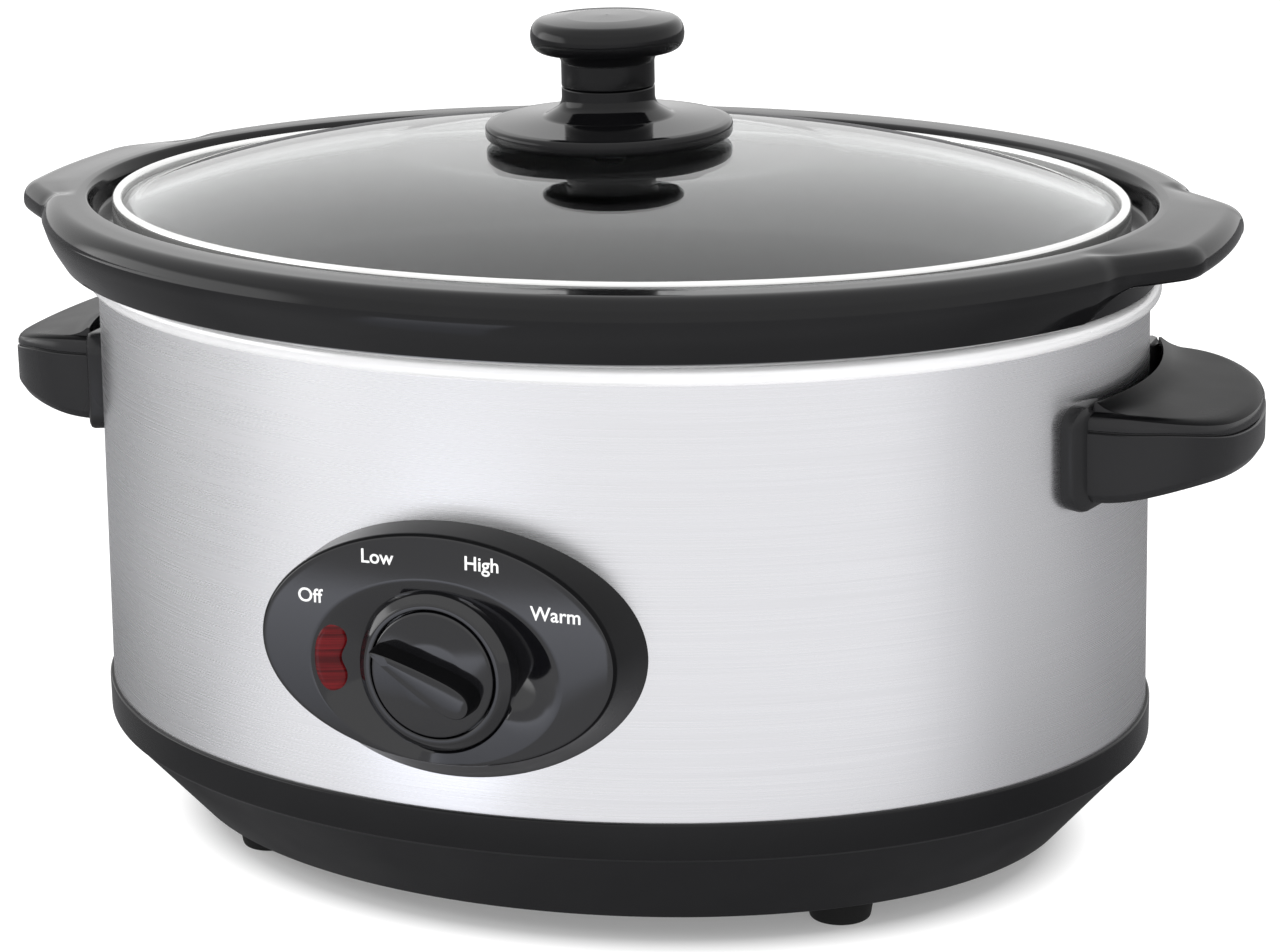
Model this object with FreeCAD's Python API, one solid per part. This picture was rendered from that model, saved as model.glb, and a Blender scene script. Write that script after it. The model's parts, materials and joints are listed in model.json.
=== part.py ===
import FreeCAD
import Part
import math
import os

from FreeCAD import Vector

# Oval slow cooker, in millimetres. Origin: middle of the oval, on the surface it stands on.
# +X runs along the oval towards one side handle, -Y towards the control knob, +Z up.

# Steel shell: half axes of its lower and upper edges
SHELL_LOW = (160.0, 129.5)
SHELL_TOP = (158.7, 121.8)
SHELL_LOW_Z = 45.5
SHELL_TOP_Z = 166.2
SHELL_WALL = 0.8

# Oval pieces are turned sections squeezed in depth by these ratios
PAN_RATIO = 0.77
CROCK_BODY_RATIO = 0.77
CROCK_RIM_RATIO = 0.797
CROCK_CAVITY_RATIO = 0.766
LID_RATIO = 0.772

# Heating pan with its rolled bead
PAN_FLOOR_Z = 55.3
PAN_SHEET = 1.2
BEAD_RADIUS = 2.9
BEAD_MID_A = 159.0
BEAD_TOP_Z = 172.0

# Crock
CROCK_FLOOR_Z = 58.3
CROCK_INNER_FLOOR_Z = 66.3
RIM_UNDER_Z = BEAD_TOP_Z + 0.3
RIM_CREST_Z = 193.3
RIM_OUTER_A = 174.0
LEDGE_Z = 184.9
LUG_LOW_Z = 183.4
LUG_TOP_Z = 192.0
LUG_END_X = 181.8
RECESS_A = 160.5

# Lid
BAND_LOW_Z = LEDGE_Z + 0.3
BAND_OUTER_A = 152.8
GLASS_EDGE_A = 151.7
GLASS_DOME_A = 149.6
GLASS_LOW_Z = 186.2
GLASS_THICK = 4.0
GLASS_RISE = 18.1
GLASS_HOLE_R = 4.2

# Lid knob
DISC_R = 36.2
DISC_MID_Z = 211.5
DISC_EDGE_R = 2.3
STEM_R = 13.6
STEM_SEAM_Z = 224.0
CAP_R = 22.4
CAP_MID_Z = 238.9
CAP_EDGE_R = 4.5
CAP_TOP_Z = 244.4
LID_SCREW_R = 2.5

# Base tray
TRAY_TOP = (161.2, 130.7)
TRAY_RIDGE_Z = 35.4
TRAY_SKIRT_TOP = (160.0, 129.7)
TRAY_SKIRT_Z = 34.4
TRAY_BOTTOM = (136.3, 105.8)
TRAY_BOTTOM_Z = 8.0
TRAY_WALL = 2.8
TRAY_FLOOR_Z = 11.0
TRAY_LIP_Z = 50.0

# Feet
FOOT_X = 90.0
FOOT_Y = 62.0
FOOT_R = 10.0

# Control bezel, knob and lens; the knob turns about an axis along Y
BEZEL_Z = 91.2
BEZEL_BACK = (55.0, 36.3)
BEZEL_FRONT = (50.8, 33.7)
BEZEL_BACK_Y = -112.0
BEZEL_FACE_Y = -139.0
BEZEL_INNER_Y = -131.5
DISH_FLOOR_Y = -134.4
KNOB_Z = 88.4
COLLAR_R = 23.0
COLLAR_FRONT_Y = -140.2
POCKET_R = 18.2
POCKET_FLOOR_Y = -136.5
KNOB_R = 17.7
KNOB_BACK_Y = -136.9
KNOB_FACE_Y = -141.2
BLADE_FRONT_Y = -148.6
KNOB_OFF_ANGLE = 153.0
SHAFT_R = 3.0
LENS_MID_R = 31.2
LENS_HALF_WIDTH = 4.1
LENS_HALF_ANGLE = 13.0
LENS_MID_ANGLE = 178.0

# Side handles
HANDLE_HALF_WIDTH = 42.0
HANDLE_TIP_X = 193.0
HANDLE_SEAM_Z = 142.6
HANDLE_TOP_Z = 147.4
HANDLE_LOW_Z = 122.0
HANDLE_TIP_LOW_Z = 127.0
PLATE_HALF_WIDTH = 46.0
PLATE_Z = (119.5, 149.5)
PLATE_CORNER = 6.0
PLATE_THICK = 4.5

GLAND_Z = 66.0


def ellipse_wire(half_x, half_y, z):
    return Part.Wire([Part.Ellipse(Vector(0, 0, z), half_x, half_y).toShape()])


def oval_loft(sections):
    """Straight-walled solid through level ellipses, each (half_x, half_y, z)."""
    wires = [ellipse_wire(*section) for section in sections]
    return Part.makeLoft(wires, True, True)


def path_wire(steps, place):
    """Closed wire of lines and arcs. A step is a point, or (through, end) for an arc."""
    edges = []
    start = place(*steps[0])
    first = start
    for step in steps[1:]:
        if isinstance(step[0], tuple):
            end = place(*step[1])
            edges.append(Part.Arc(start, place(*step[0]), end).toShape())
        else:
            end = place(*step)
            edges.append(Part.makeLine(start, end))
        start = end
    if start.distanceToPoint(first) > 1e-6:
        edges.append(Part.makeLine(start, first))
    return Part.Wire(edges)


def in_section(a, z):
    return Vector(a, 0, z)


def in_plan(x, y):
    return Vector(x, y, 0)


def in_front(x, z):
    return Vector(x, 0, z)


def squeezed(solid, ratio):
    squeeze = FreeCAD.Matrix()
    squeeze.A22 = ratio
    return solid.transformGeometry(squeeze)


def turned(steps, ratio=1.0):
    """Section turned about Z, then squeezed in depth to the oval's ratio."""
    face = Part.Face(path_wire(steps, in_section))
    solid = face.revolve(Vector(0, 0, 0), Vector(0, 0, 1), 360)
    if ratio == 1.0:
        return solid
    return squeezed(solid, ratio)


def knob_turned(steps):
    """Section of (radius, y) points turned about the control knob's axis."""
    wire = path_wire(steps, lambda r, y: Vector(r, y, KNOB_Z))
    return Part.Face(wire).revolve(Vector(0, 0, KNOB_Z), Vector(0, 1, 0), 360)


def prism(steps, place, along):
    return Part.Face(path_wire(steps, place)).extrude(along)


def rod_y(x, z, radius, y_from, y_to):
    return Part.makeCylinder(radius, y_to - y_from, Vector(x, y_from, z), Vector(0, 1, 0))


def rod_x(y, z, radius, x_from, x_to):
    return Part.makeCylinder(radius, x_to - x_from, Vector(x_from, y, z), Vector(1, 0, 0))


def rod_z(x, y, radius, z_from, z_to):
    return Part.makeCylinder(radius, z_to - z_from, Vector(x, y, z_from))


def block(x, y, z):
    """Box between two bounds on each axis."""
    size = [bounds[1] - bounds[0] for bounds in (x, y, z)]
    return Part.makeBox(*size, Vector(x[0], y[0], z[0]))


def half_turn(shape):
    """Copy on the other end of the oval, turned half a turn about Z."""
    copy = shape.copy()
    copy.rotate(Vector(0, 0, 0), Vector(0, 0, 1), 180)
    return copy


def fuse_all(shapes):
    return shapes[0].multiFuse(shapes[1:]).removeSplitter()


def edges_where(shape, test):
    return [edge for edge in shape.Edges if test(edge.BoundBox)]


def shell_form(offset):
    """Solid inside the shell's outer face, grown or shrunk by an offset."""
    low = (SHELL_LOW[0] + offset, SHELL_LOW[1] + offset, SHELL_LOW_Z)
    top = (SHELL_TOP[0] + offset, SHELL_TOP[1] + offset, SHELL_TOP_Z)
    return oval_loft([low, top])


def shell_half_x(z):
    share = (z - SHELL_LOW_Z) / (SHELL_TOP_Z - SHELL_LOW_Z)
    return SHELL_LOW[0] + share * (SHELL_TOP[0] - SHELL_LOW[0])


def shell_half_y(z):
    share = (z - SHELL_LOW_Z) / (SHELL_TOP_Z - SHELL_LOW_Z)
    return SHELL_LOW[1] + share * (SHELL_TOP[1] - SHELL_LOW[1])


SHELL_OUTER = shell_form(0.0)
SHELL_INNER = shell_form(-SHELL_WALL)
HANDLE_SCREW_Z = (128.0, 137.0)
BEZEL_SCREW_Z = (62.7, 119.7)
SCREW_R = 1.8
LAMP_X = -LENS_MID_R
LAMP_Z = 89.5


def outer_shell():
    shell = SHELL_OUTER.cut(SHELL_INNER)
    window = Part.Face(Part.Wire([Part.Ellipse(Vector(0, 0, 0), 40.0, 19.0).toShape()]))
    window.rotate(Vector(0, 0, 0), Vector(1, 0, 0), 90)
    window.translate(Vector(0, -90, KNOB_Z))
    holes = [window.extrude(Vector(0, -60, 0)), rod_y(0, GLAND_Z, 6.5, 100, 150)]
    for z in BEZEL_SCREW_Z:
        holes.append(rod_y(0, z, SCREW_R + 0.2, -150, -100))
    for z in HANDLE_SCREW_Z:
        holes.append(rod_x(0, z, SCREW_R + 0.2, -170, 170))
    return shell.cut(holes)


def pan_wall_a(z):
    """Half length of the pan's outer wall at a height."""
    return 134.5 + (z - 67.0) * (148.25 - 134.5) / (160.0 - 67.0)


def heating_pan():
    inner_floor = PAN_FLOOR_Z + PAN_SHEET
    bead_low = BEAD_TOP_Z - 2 * BEAD_RADIUS
    steps = [
        (0, inner_floor), (122.0, inner_floor), ((130.4, 59.6), (133.3, 67.0)), (147.0, 160.0),
        ((148.7, 166.6), (153.0, 170.9)), ((156.0, 171.75), (BEAD_MID_A, BEAD_TOP_Z)),
        ((BEAD_MID_A + BEAD_RADIUS, BEAD_TOP_Z - BEAD_RADIUS), (BEAD_MID_A + 0.4, bead_low)),
        (157.0, bead_low), (154.4, 169.4), ((150.1, 166.0), (pan_wall_a(160.0), 160.0)),
        (pan_wall_a(67.0), 67.0), ((131.4, 58.7), (122.0, PAN_FLOOR_Z)), (0, PAN_FLOOR_Z),
    ]
    return turned(steps, PAN_RATIO)


def crock_lug():
    """Flat lifting tab with rounded corners and edges at the +X end of the rim."""
    steps = [
        (150, -54), (163.5, -47), (180.9, -29.5), ((LUG_END_X, 0), (180.9, 29.5)), (163.5, 47), (150, 54),
    ]
    tab = prism(steps, in_plan, Vector(0, 0, LUG_TOP_Z - LUG_LOW_Z))
    tab.translate(Vector(0, 0, LUG_LOW_Z))
    tall = edges_where(tab, lambda box: box.ZLength > 5 and box.XMin > 160)
    tab = tab.makeFillet(9.0, tall)
    upper = edges_where(tab, lambda box: box.ZMin > LUG_TOP_Z - 0.1 and box.XMax > 152)
    tab = tab.makeFillet(5.0, upper)
    lower = edges_where(tab, lambda box: box.ZMax < LUG_LOW_Z + 0.1 and box.XMax > 152)
    return tab.makeFillet(2.6, lower)


def finger_recess():
    """Hollow under the +X lug: an arch along X, kept outside an oval so that the mouth has its wall."""
    arch = prism([
        (-54, 168), (54, 168), (52, 175), ((50.3, 180.9), (45.5, LUG_LOW_Z + 1)), (-45.5, LUG_LOW_Z + 1),
        ((-50.3, 180.9), (-52, 175)),
    ], lambda y, z: Vector(100, y, z), Vector(100, 0, 0))
    ring = turned([
        (RECESS_A, 165), (195, 165), (195, LUG_LOW_Z), (RECESS_A + 4.0, LUG_LOW_Z),
        ((RECESS_A + 1.17, LUG_LOW_Z - 1.17), (RECESS_A, LUG_LOW_Z - 4.0)),
    ], CROCK_RIM_RATIO)
    return arch.common(ring)


def crock():
    body = turned([
        (0, CROCK_FLOOR_Z), (117.0, CROCK_FLOOR_Z), ((126.6, 61.2), (130.2, 69.5)), (143.6, 158.0),
        ((145.2, 166.2), (149.5, RIM_UNDER_Z)), (152.0, 176.0), (150.0, 184.0), (0, 184.0),
    ], CROCK_BODY_RATIO)
    rim = turned([
        (144.0, RIM_UNDER_Z), (161.2, RIM_UNDER_Z), (166.4, 174.2), ((167.7, 174.7), (168.5, 175.7)),
        ((172.0, 181.0), (RIM_OUTER_A, 187.4)), ((172.6, 190.9), (168.6, 192.6)),
        ((163.0, RIM_CREST_Z), (157.0, 193.0)), (144.0, 193.0),
    ], CROCK_RIM_RATIO)
    cavity = turned([
        (0, 200.0), (162.4, 200.0), (162.4, 193.4), ((160.28, 192.52), (159.4, 190.4)), (158.7, 187.0),
        ((158.1, 185.5), (156.6, LEDGE_Z)), (148.5, LEDGE_Z), ((145.4, 183.7), (143.6, 180.9)),
        (135.8, 160.0), (123.5, 80.0), ((119.3, 70.4), (109.0, CROCK_INNER_FLOOR_Z)),
        (0, CROCK_INNER_FLOOR_Z),
    ], CROCK_CAVITY_RATIO)
    recess = finger_recess()
    rim = rim.cut([recess, half_turn(recess)])
    lug = crock_lug()
    return fuse_all([body, rim, lug, half_turn(lug)]).cut(cavity).removeSplitter()


GLASS_TOP_Z = GLASS_LOW_Z + GLASS_THICK


def dome_point(edge_a, edge_z, share):
    """Point of a glass face at a share of its half length. The drop grows with the cube of the share,
    near the middle with its square."""
    drop = max(share, 0.45) * share ** 2
    return (edge_a * share, edge_z + GLASS_RISE * (1 - drop))


def lid_glass():
    """Bent glass: flat edge held by the band, even thickness over the dome, hole for the screw."""
    top_a = GLASS_DOME_A
    low_a = GLASS_DOME_A - 3.0
    hole_a = GLASS_HOLE_R / LID_RATIO
    shares = (hole_a / top_a, 0.22, 0.45, 0.6, 0.75, 0.88, 1.0)
    top = [dome_point(top_a, GLASS_TOP_Z, share) for share in shares]
    low = [dome_point(low_a, GLASS_LOW_Z, share) for share in shares]
    low[0] = (hole_a, low[0][1])
    return turned([
        top[0], (top[1], top[2]), (top[3], top[4]), (top[5], top[6]), (GLASS_EDGE_A, GLASS_TOP_Z),
        (GLASS_EDGE_A, GLASS_LOW_Z), low[6], (low[5], low[4]), (low[3], low[2]), (low[1], low[0]),
    ], LID_RATIO)


def lid_rim_band():
    roll_r = 1.6
    mid_a = BAND_OUTER_A - roll_r
    roll_z = GLASS_TOP_Z + 1.2
    return turned([
        (147.5, BAND_LOW_Z), (BAND_OUTER_A, BAND_LOW_Z), (BAND_OUTER_A, roll_z),
        ((mid_a, roll_z + roll_r), (mid_a - roll_r, roll_z)), (mid_a - roll_r, GLASS_TOP_Z),
        (GLASS_EDGE_A, GLASS_TOP_Z), (GLASS_EDGE_A, GLASS_LOW_Z), (147.5, GLASS_LOW_Z),
    ], LID_RATIO)


FLANGE_SEAT_Z = GLASS_TOP_Z + GLASS_RISE + 0.9
GASKET_R = 12.0
WASHER_TOP_Z = GLASS_LOW_Z + GLASS_RISE - 1.7
WASHER_THICK = 1.2
SCREW_HEAD = 3.0


def lid_knob_flange():
    low = DISC_MID_Z - DISC_EDGE_R
    mid = DISC_R - DISC_EDGE_R
    return turned([
        (LID_SCREW_R + 0.1, FLANGE_SEAT_Z), (GASKET_R, FLANGE_SEAT_Z), (GASKET_R, low + 0.2), (mid, low),
        ((DISC_R, DISC_MID_Z), (mid, DISC_MID_Z + DISC_EDGE_R)), (19.5, 215.2),
        ((15.0, 216.6), (STEM_R, 220.2)), (STEM_R, STEM_SEAM_Z - 0.5), (STEM_R - 0.5, STEM_SEAM_Z),
        (LID_SCREW_R + 0.1, STEM_SEAM_Z),
    ])


def lid_knob_grip():
    low = CAP_MID_Z - CAP_EDGE_R
    mid = CAP_R - CAP_EDGE_R
    bore = LID_SCREW_R + 0.1
    return turned([
        (bore, STEM_SEAM_Z), (STEM_R - 0.5, STEM_SEAM_Z), (STEM_R, STEM_SEAM_Z + 0.5), (STEM_R, 231.2),
        ((14.4, 233.5), (16.6, low)), (mid, low), ((CAP_R, CAP_MID_Z), (mid, CAP_MID_Z + CAP_EDGE_R)),
        ((11.0, CAP_TOP_Z - 0.3), (4.0, CAP_TOP_Z)), (0, CAP_TOP_Z), (0, 233.0), (bore, 233.0),
    ])


def lid_knob_gasket():
    low = GLASS_TOP_Z + GLASS_RISE
    return rod_z(0, 0, GASKET_R, low, FLANGE_SEAT_Z).cut(rod_z(0, 0, GLASS_HOLE_R, 190, 230))


def lid_washer_gasket():
    high = GLASS_LOW_Z + GLASS_RISE - 0.09
    return rod_z(0, 0, 11.0, WASHER_TOP_Z, high).cut(rod_z(0, 0, GLASS_HOLE_R, 190, 230))


def lid_washer():
    ring = rod_z(0, 0, 11.0, WASHER_TOP_Z - WASHER_THICK, WASHER_TOP_Z)
    return ring.cut(rod_z(0, 0, LID_SCREW_R + 0.1, 190, 230))


def lid_screw():
    seat = WASHER_TOP_Z - WASHER_THICK
    head = turned([(0, seat - SCREW_HEAD), (3.0, seat - SCREW_HEAD), ((4.4, seat - 2.2), (4.8, seat)),
                   (0, seat)])
    slot = block((-6, 6), (-0.6, 0.6), (seat - SCREW_HEAD - 1, seat - SCREW_HEAD + 1.2))
    return head.fuse(rod_z(0, 0, LID_SCREW_R, seat, 231.0)).cut(slot)


def foot_places():
    places = {}
    for end, x in (("left", -FOOT_X), ("right", FOOT_X)):
        for side, y in (("front", -FOOT_Y), ("rear", FOOT_Y)):
            places[side + "_" + end] = (x, y)
    return places


BOSS_TOP_Z = 24.0
FOOT_BOSS_TOP_Z = 20.0
STUD_R = 3.0


def base_tray():
    top = TRAY_TOP
    outer = oval_loft([
        (top[0], top[1], SHELL_LOW_Z), (top[0], top[1], TRAY_RIDGE_Z),
        (TRAY_SKIRT_TOP[0], TRAY_SKIRT_TOP[1], TRAY_SKIRT_Z),
        (TRAY_BOTTOM[0] + 1.6, TRAY_BOTTOM[1] + 1.6, TRAY_BOTTOM_Z + 1.8),
        (TRAY_BOTTOM[0], TRAY_BOTTOM[1], TRAY_BOTTOM_Z),
    ])
    lip_outer = (SHELL_LOW[0] - 1.3, SHELL_LOW[1] - 1.6)
    lip = oval_loft([(*lip_outer, SHELL_LOW_Z - 1), (*lip_outer, TRAY_LIP_Z)])
    inner_top = (lip_outer[0] - 2.2, lip_outer[1] - 2.2)
    inner_low = (TRAY_BOTTOM[0] + 1.0, TRAY_BOTTOM[1] + 1.0)
    inner = oval_loft([
        (*inner_top, TRAY_LIP_Z), (*inner_top, TRAY_SKIRT_Z), (*inner_low, TRAY_FLOOR_Z),
    ])
    tray = outer.fuse(lip).cut(inner)
    posts = [rod_z(0, 0, 14.0, TRAY_FLOOR_Z, BOSS_TOP_Z)]
    holes = [rod_z(0, 0, STUD_R + 0.2, 0, 30), rod_z(0, 0, 9.5, 0, 15.0)]
    for x, y in foot_places().values():
        posts.append(rod_z(x, y, 6.5, TRAY_FLOOR_Z, FOOT_BOSS_TOP_Z))
        holes.append(rod_z(x, y, SCREW_R + 0.1, 0, FOOT_BOSS_TOP_Z - 1.5))
    rib_top = TRAY_FLOOR_Z + 6.0
    for angle in (0, 90):
        rib = block((-128, 128), (-1.25, 1.25), (TRAY_FLOOR_Z, rib_top))
        if angle:
            rib = block((-1.25, 1.25), (-98, 98), (TRAY_FLOOR_Z, rib_top))
        posts.append(rib)
    return fuse_all([tray] + posts).cut(holes).removeSplitter()


def foot(x, y):
    pad = turned([
        (0, 0), (7.9, 0), ((8.6, 0.3), (8.9, 1.0)), (FOOT_R, TRAY_BOTTOM_Z), (0, TRAY_BOTTOM_Z),
    ])
    pad = pad.cut([rod_z(0, 0, 4.4, -1, 4.0), rod_z(0, 0, SCREW_R + 0.2, 0, 10)])
    pad.translate(Vector(x, y, 0))
    return pad


def foot_screws():
    screws = []
    for x, y in foot_places().values():
        head = turned([(0, 1.4), (2.4, 1.4), ((3.4, 2.2), (3.8, 4.0)), (0, 4.0)])
        screw = head.fuse(rod_z(0, 0, SCREW_R, 4.0, 17.5))
        screw.translate(Vector(x, y, 0))
        screws.append(screw)
    return Part.makeCompound(screws)


def centre_stud():
    plate = rod_z(0, 0, 9.0, PAN_FLOOR_Z - 2.0, PAN_FLOOR_Z)
    return plate.fuse(rod_z(0, 0, STUD_R, 9.2, PAN_FLOOR_Z - 2.0))


def centre_washer():
    return rod_z(0, 0, 8.5, 13.8, 15.0).cut(rod_z(0, 0, STUD_R, 10, 20))


def hexagon(across_flats, low, high):
    corner_r = across_flats / math.sqrt(3)
    angles = [math.radians(60 * step) for step in range(7)]
    points = [Vector(corner_r * math.cos(a), corner_r * math.sin(a), low) for a in angles]
    return Part.Face(Part.makePolygon(points)).extrude(Vector(0, 0, high - low))


def centre_nut():
    return hexagon(10.0, 9.4, 13.8).cut(rod_z(0, 0, STUD_R, 5, 20))


def front_ellipse(half_x, half_z, x, y, z):
    wire = Part.Wire([Part.Ellipse(Vector(0, 0, 0), half_x, half_z).toShape()])
    wire.rotate(Vector(0, 0, 0), Vector(1, 0, 0), 90)
    wire.translate(Vector(x, y, z))
    return wire


def kidney_prism():
    """Lens outline, a thick arc about the knob with round ends, run along Y."""
    inner_r = LENS_MID_R - LENS_HALF_WIDTH
    outer_r = LENS_MID_R + LENS_HALF_WIDTH

    def at(radius, degrees):
        angle = math.radians(degrees)
        return (radius * math.cos(angle), KNOB_Z + radius * math.sin(angle))

    first = LENS_MID_ANGLE - LENS_HALF_ANGLE
    last = LENS_MID_ANGLE + LENS_HALF_ANGLE
    end_turn = math.degrees(LENS_HALF_WIDTH / LENS_MID_R)
    steps = [
        at(outer_r, first), (at(outer_r, LENS_MID_ANGLE), at(outer_r, last)),
        (at(LENS_MID_R, last + end_turn), at(inner_r, last)),
        (at(inner_r, LENS_MID_ANGLE), at(inner_r, first)),
        (at(LENS_MID_R, first - end_turn), at(outer_r, first)),
    ]
    wire = path_wire(steps, lambda x, z: Vector(x, -120, z))
    return Part.Face(wire).extrude(Vector(0, -25, 0))


def bezel_form():
    """Bezel without its lens and screw holes: oval puck, dish, collar and hollow back."""
    back = front_ellipse(*BEZEL_BACK, 0, BEZEL_BACK_Y, BEZEL_Z)
    front = front_ellipse(*BEZEL_FRONT, 0, BEZEL_FACE_Y, BEZEL_Z)
    puck = Part.makeLoft([back, front], True, True)
    face_edge = edges_where(puck, lambda box: box.YMax < BEZEL_FACE_Y + 0.1)
    puck = puck.makeFillet(3.6, face_edge)
    dish = Part.makeLoft([
        front_ellipse(36.2, 25.4, -0.4, BEZEL_FACE_Y - 0.6, 89.6),
        front_ellipse(27.0, 23.6, 0, DISH_FLOOR_Y, KNOB_Z),
    ], True, True)
    hollow = Part.makeLoft([
        front_ellipse(BEZEL_BACK[0] - 3.0, BEZEL_BACK[1] - 3.0, 0, BEZEL_BACK_Y, BEZEL_Z),
        front_ellipse(BEZEL_FRONT[0] - 2.2, BEZEL_FRONT[1] - 2.2, 0, BEZEL_INNER_Y, BEZEL_Z),
    ], True, True)
    collar = knob_turned([
        (0, BEZEL_INNER_Y), (COLLAR_R, BEZEL_INNER_Y), (COLLAR_R, DISH_FLOOR_Y),
        ((22.0, -137.9), (19.6, -139.9)), ((18.9, COLLAR_FRONT_Y), (POCKET_R, -139.8)),
        (POCKET_R, POCKET_FLOOR_Y), (0, POCKET_FLOOR_Y),
    ])
    posts = [rod_y(0, z, 4.2, BEZEL_INNER_Y - 1, -110) for z in BEZEL_SCREW_Z]
    lamp_sleeve = rod_y(LAMP_X, LAMP_Z, 4.2, BEZEL_INNER_Y - 1, -124.8)
    form = puck.cut([dish, hollow])
    return fuse_all([form, collar, lamp_sleeve] + posts).cut(SHELL_OUTER)


BEZEL_FORM = bezel_form()
LENS_PRISM = kidney_prism()
SWITCH_SCREW_X = 11.0
SWITCH_SCREW_R = 1.4


def control_bezel():
    holes = [LENS_PRISM, rod_y(0, KNOB_Z, 5.2, -150, -120), rod_y(LAMP_X, LAMP_Z, 2.6, -131.5, -110)]
    for z in BEZEL_SCREW_Z:
        holes.append(rod_y(0, z, SCREW_R, BEZEL_INNER_Y - 1.5, -110))
    for x in (-SWITCH_SCREW_X, SWITCH_SCREW_X):
        holes.append(rod_y(x, KNOB_Z, SWITCH_SCREW_R, -140, -120))
        holes.append(rod_y(x, KNOB_Z, 2.7, -140, POCKET_FLOOR_Y + 1.8))
    return BEZEL_FORM.cut(holes)


def indicator_lens():
    raised = BEZEL_FORM.copy()
    raised.translate(Vector(0, -0.5, 0))
    return LENS_PRISM.common(raised).cut(rod_y(LAMP_X, LAMP_Z, 9.0, -132.0, -110))


def indicator_lamp():
    bulb = rod_y(LAMP_X, LAMP_Z, 2.6, -131.4, -121.0)
    return bulb.fuse(rod_y(LAMP_X, LAMP_Z, 1.6, -121.0, -117.0))


def bezel_screws():
    screws = []
    for z in BEZEL_SCREW_Z:
        seat = -(shell_half_y(z) - SHELL_WALL) + 0.25
        shank = rod_y(0, z, SCREW_R, BEZEL_INNER_Y - 1.0, seat)
        screws.append(shank.fuse(rod_y(0, z, 3.4, seat, seat + 2.2)))
    return Part.makeCompound(screws)


SWITCH_BACK_Y = -113.5


def selector_switch():
    body = block((-15, 15), (BEZEL_INNER_Y, SWITCH_BACK_Y), (KNOB_Z - 14, KNOB_Z + 14))
    tall = edges_where(body, lambda box: box.YLength > 10)
    body = body.makeFillet(3.0, tall)
    bush = rod_y(0, KNOB_Z, 5.0, -135.9, BEZEL_INNER_Y)
    tabs = []
    for x in (-9, 0, 9):
        tab_y = (SWITCH_BACK_Y, SWITCH_BACK_Y + 3.5)
        tabs.append(block((x - 2.4, x + 2.4), tab_y, (KNOB_Z - 10, KNOB_Z - 9.2)))
    holes = [rod_y(0, KNOB_Z, SHAFT_R + 0.05, -140, -117.5)]
    for x in (-SWITCH_SCREW_X, SWITCH_SCREW_X):
        holes.append(rod_y(x, KNOB_Z, SWITCH_SCREW_R, -140, -122))
    return fuse_all([body, bush] + tabs).cut(holes)


def switch_screws():
    screws = []
    for x in (-SWITCH_SCREW_X, SWITCH_SCREW_X):
        seat = POCKET_FLOOR_Y + 1.8
        shank = rod_y(x, KNOB_Z, SWITCH_SCREW_R, seat, -123)
        screws.append(shank.fuse(rod_y(x, KNOB_Z, 2.5, seat - 1.4, seat)))
    return Part.makeCompound(screws)


def switch_shaft():
    """Round shaft with a flat where the knob grips it."""
    shaft = rod_y(0, KNOB_Z, SHAFT_R, -145.5, -118.0)
    flat = block((-5, 5), (-150, -137.5), (KNOB_Z + 1.9, KNOB_Z + 5))
    return shaft.cut(flat)


def blade_wire(scale, y):
    """Grip outline seen from the front: pointed towards +X, blunt at the other end."""
    half = 5.2 * scale
    steps = [
        (16.9, 0), ((3.0, half * 0.98), (-11.6, half)), ((-14.8, half * 0.8), (-15.8, 0)),
        ((-14.8, -half * 0.8), (-11.6, -half)), ((3.0, -half * 0.98), (16.9, 0)),
    ]
    return path_wire(steps, lambda x, z: Vector(x, y, z))


def control_knob():
    disc = knob_turned([
        (0, KNOB_BACK_Y), (KNOB_R, KNOB_BACK_Y), (KNOB_R, KNOB_FACE_Y + 1.2),
        ((KNOB_R - 0.3, KNOB_FACE_Y + 0.3), (KNOB_R - 1.2, KNOB_FACE_Y)), (0, KNOB_FACE_Y - 0.4),
    ])
    blade = Part.makeLoft([blade_wire(1.0, KNOB_FACE_Y + 0.6), blade_wire(0.72, BLADE_FRONT_Y)], True, True)
    top_edges = edges_where(blade, lambda box: box.YMax < BLADE_FRONT_Y + 0.1)
    blade = blade.makeFillet(0.8, top_edges)
    blade.rotate(Vector(0, 0, 0), Vector(0, 1, 0), -KNOB_OFF_ANGLE)
    blade.translate(Vector(0, 0, KNOB_Z))
    return disc.fuse(blade).cut(switch_shaft())


def heater_band():
    low, high, thick = 72.0, 118.0, 3.0
    band = turned([
        (pan_wall_a(low), low), (pan_wall_a(low) + thick, low), (pan_wall_a(high) + thick, high),
        (pan_wall_a(high), high),
    ], PAN_RATIO)
    return band.cut(block((-7, 7), (80, 130), (60, 130)))


def heater_clamp():
    """Bolt across the band's gap at the back, through two small ears."""
    ears = []
    for side in (-1, 1):
        ear = block((-1.0, 1.0), (100, 119), (88, 102))
        ear.translate(Vector(side * 8.0, 0, 0))
        ears.append(ear)
    band_face = turned([
        (0, 72.0), (pan_wall_a(72.0) + 3.0, 72.0), (pan_wall_a(118.0) + 3.0, 118.0), (0, 118.0),
    ], PAN_RATIO)
    ears = [ear.cut(band_face) for ear in ears]
    bolt = rod_x(115.5, 95.0, 1.6, -9.0, 9.0)
    ends = [rod_x(115.5, 95.0, 2.8, -11.2, -9.0), rod_x(115.5, 95.0, 2.8, 9.0, 11.2)]
    return fuse_all(ears + [bolt] + ends)


def thermal_cutoff():
    body = block((-46, -30), (-3.5, 3.5), (PAN_FLOOR_Z - 5.0, PAN_FLOOR_Z))
    return body.makeFillet(1.5, edges_where(body, lambda box: box.XLength > 10 and box.ZMax < 52))


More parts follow.
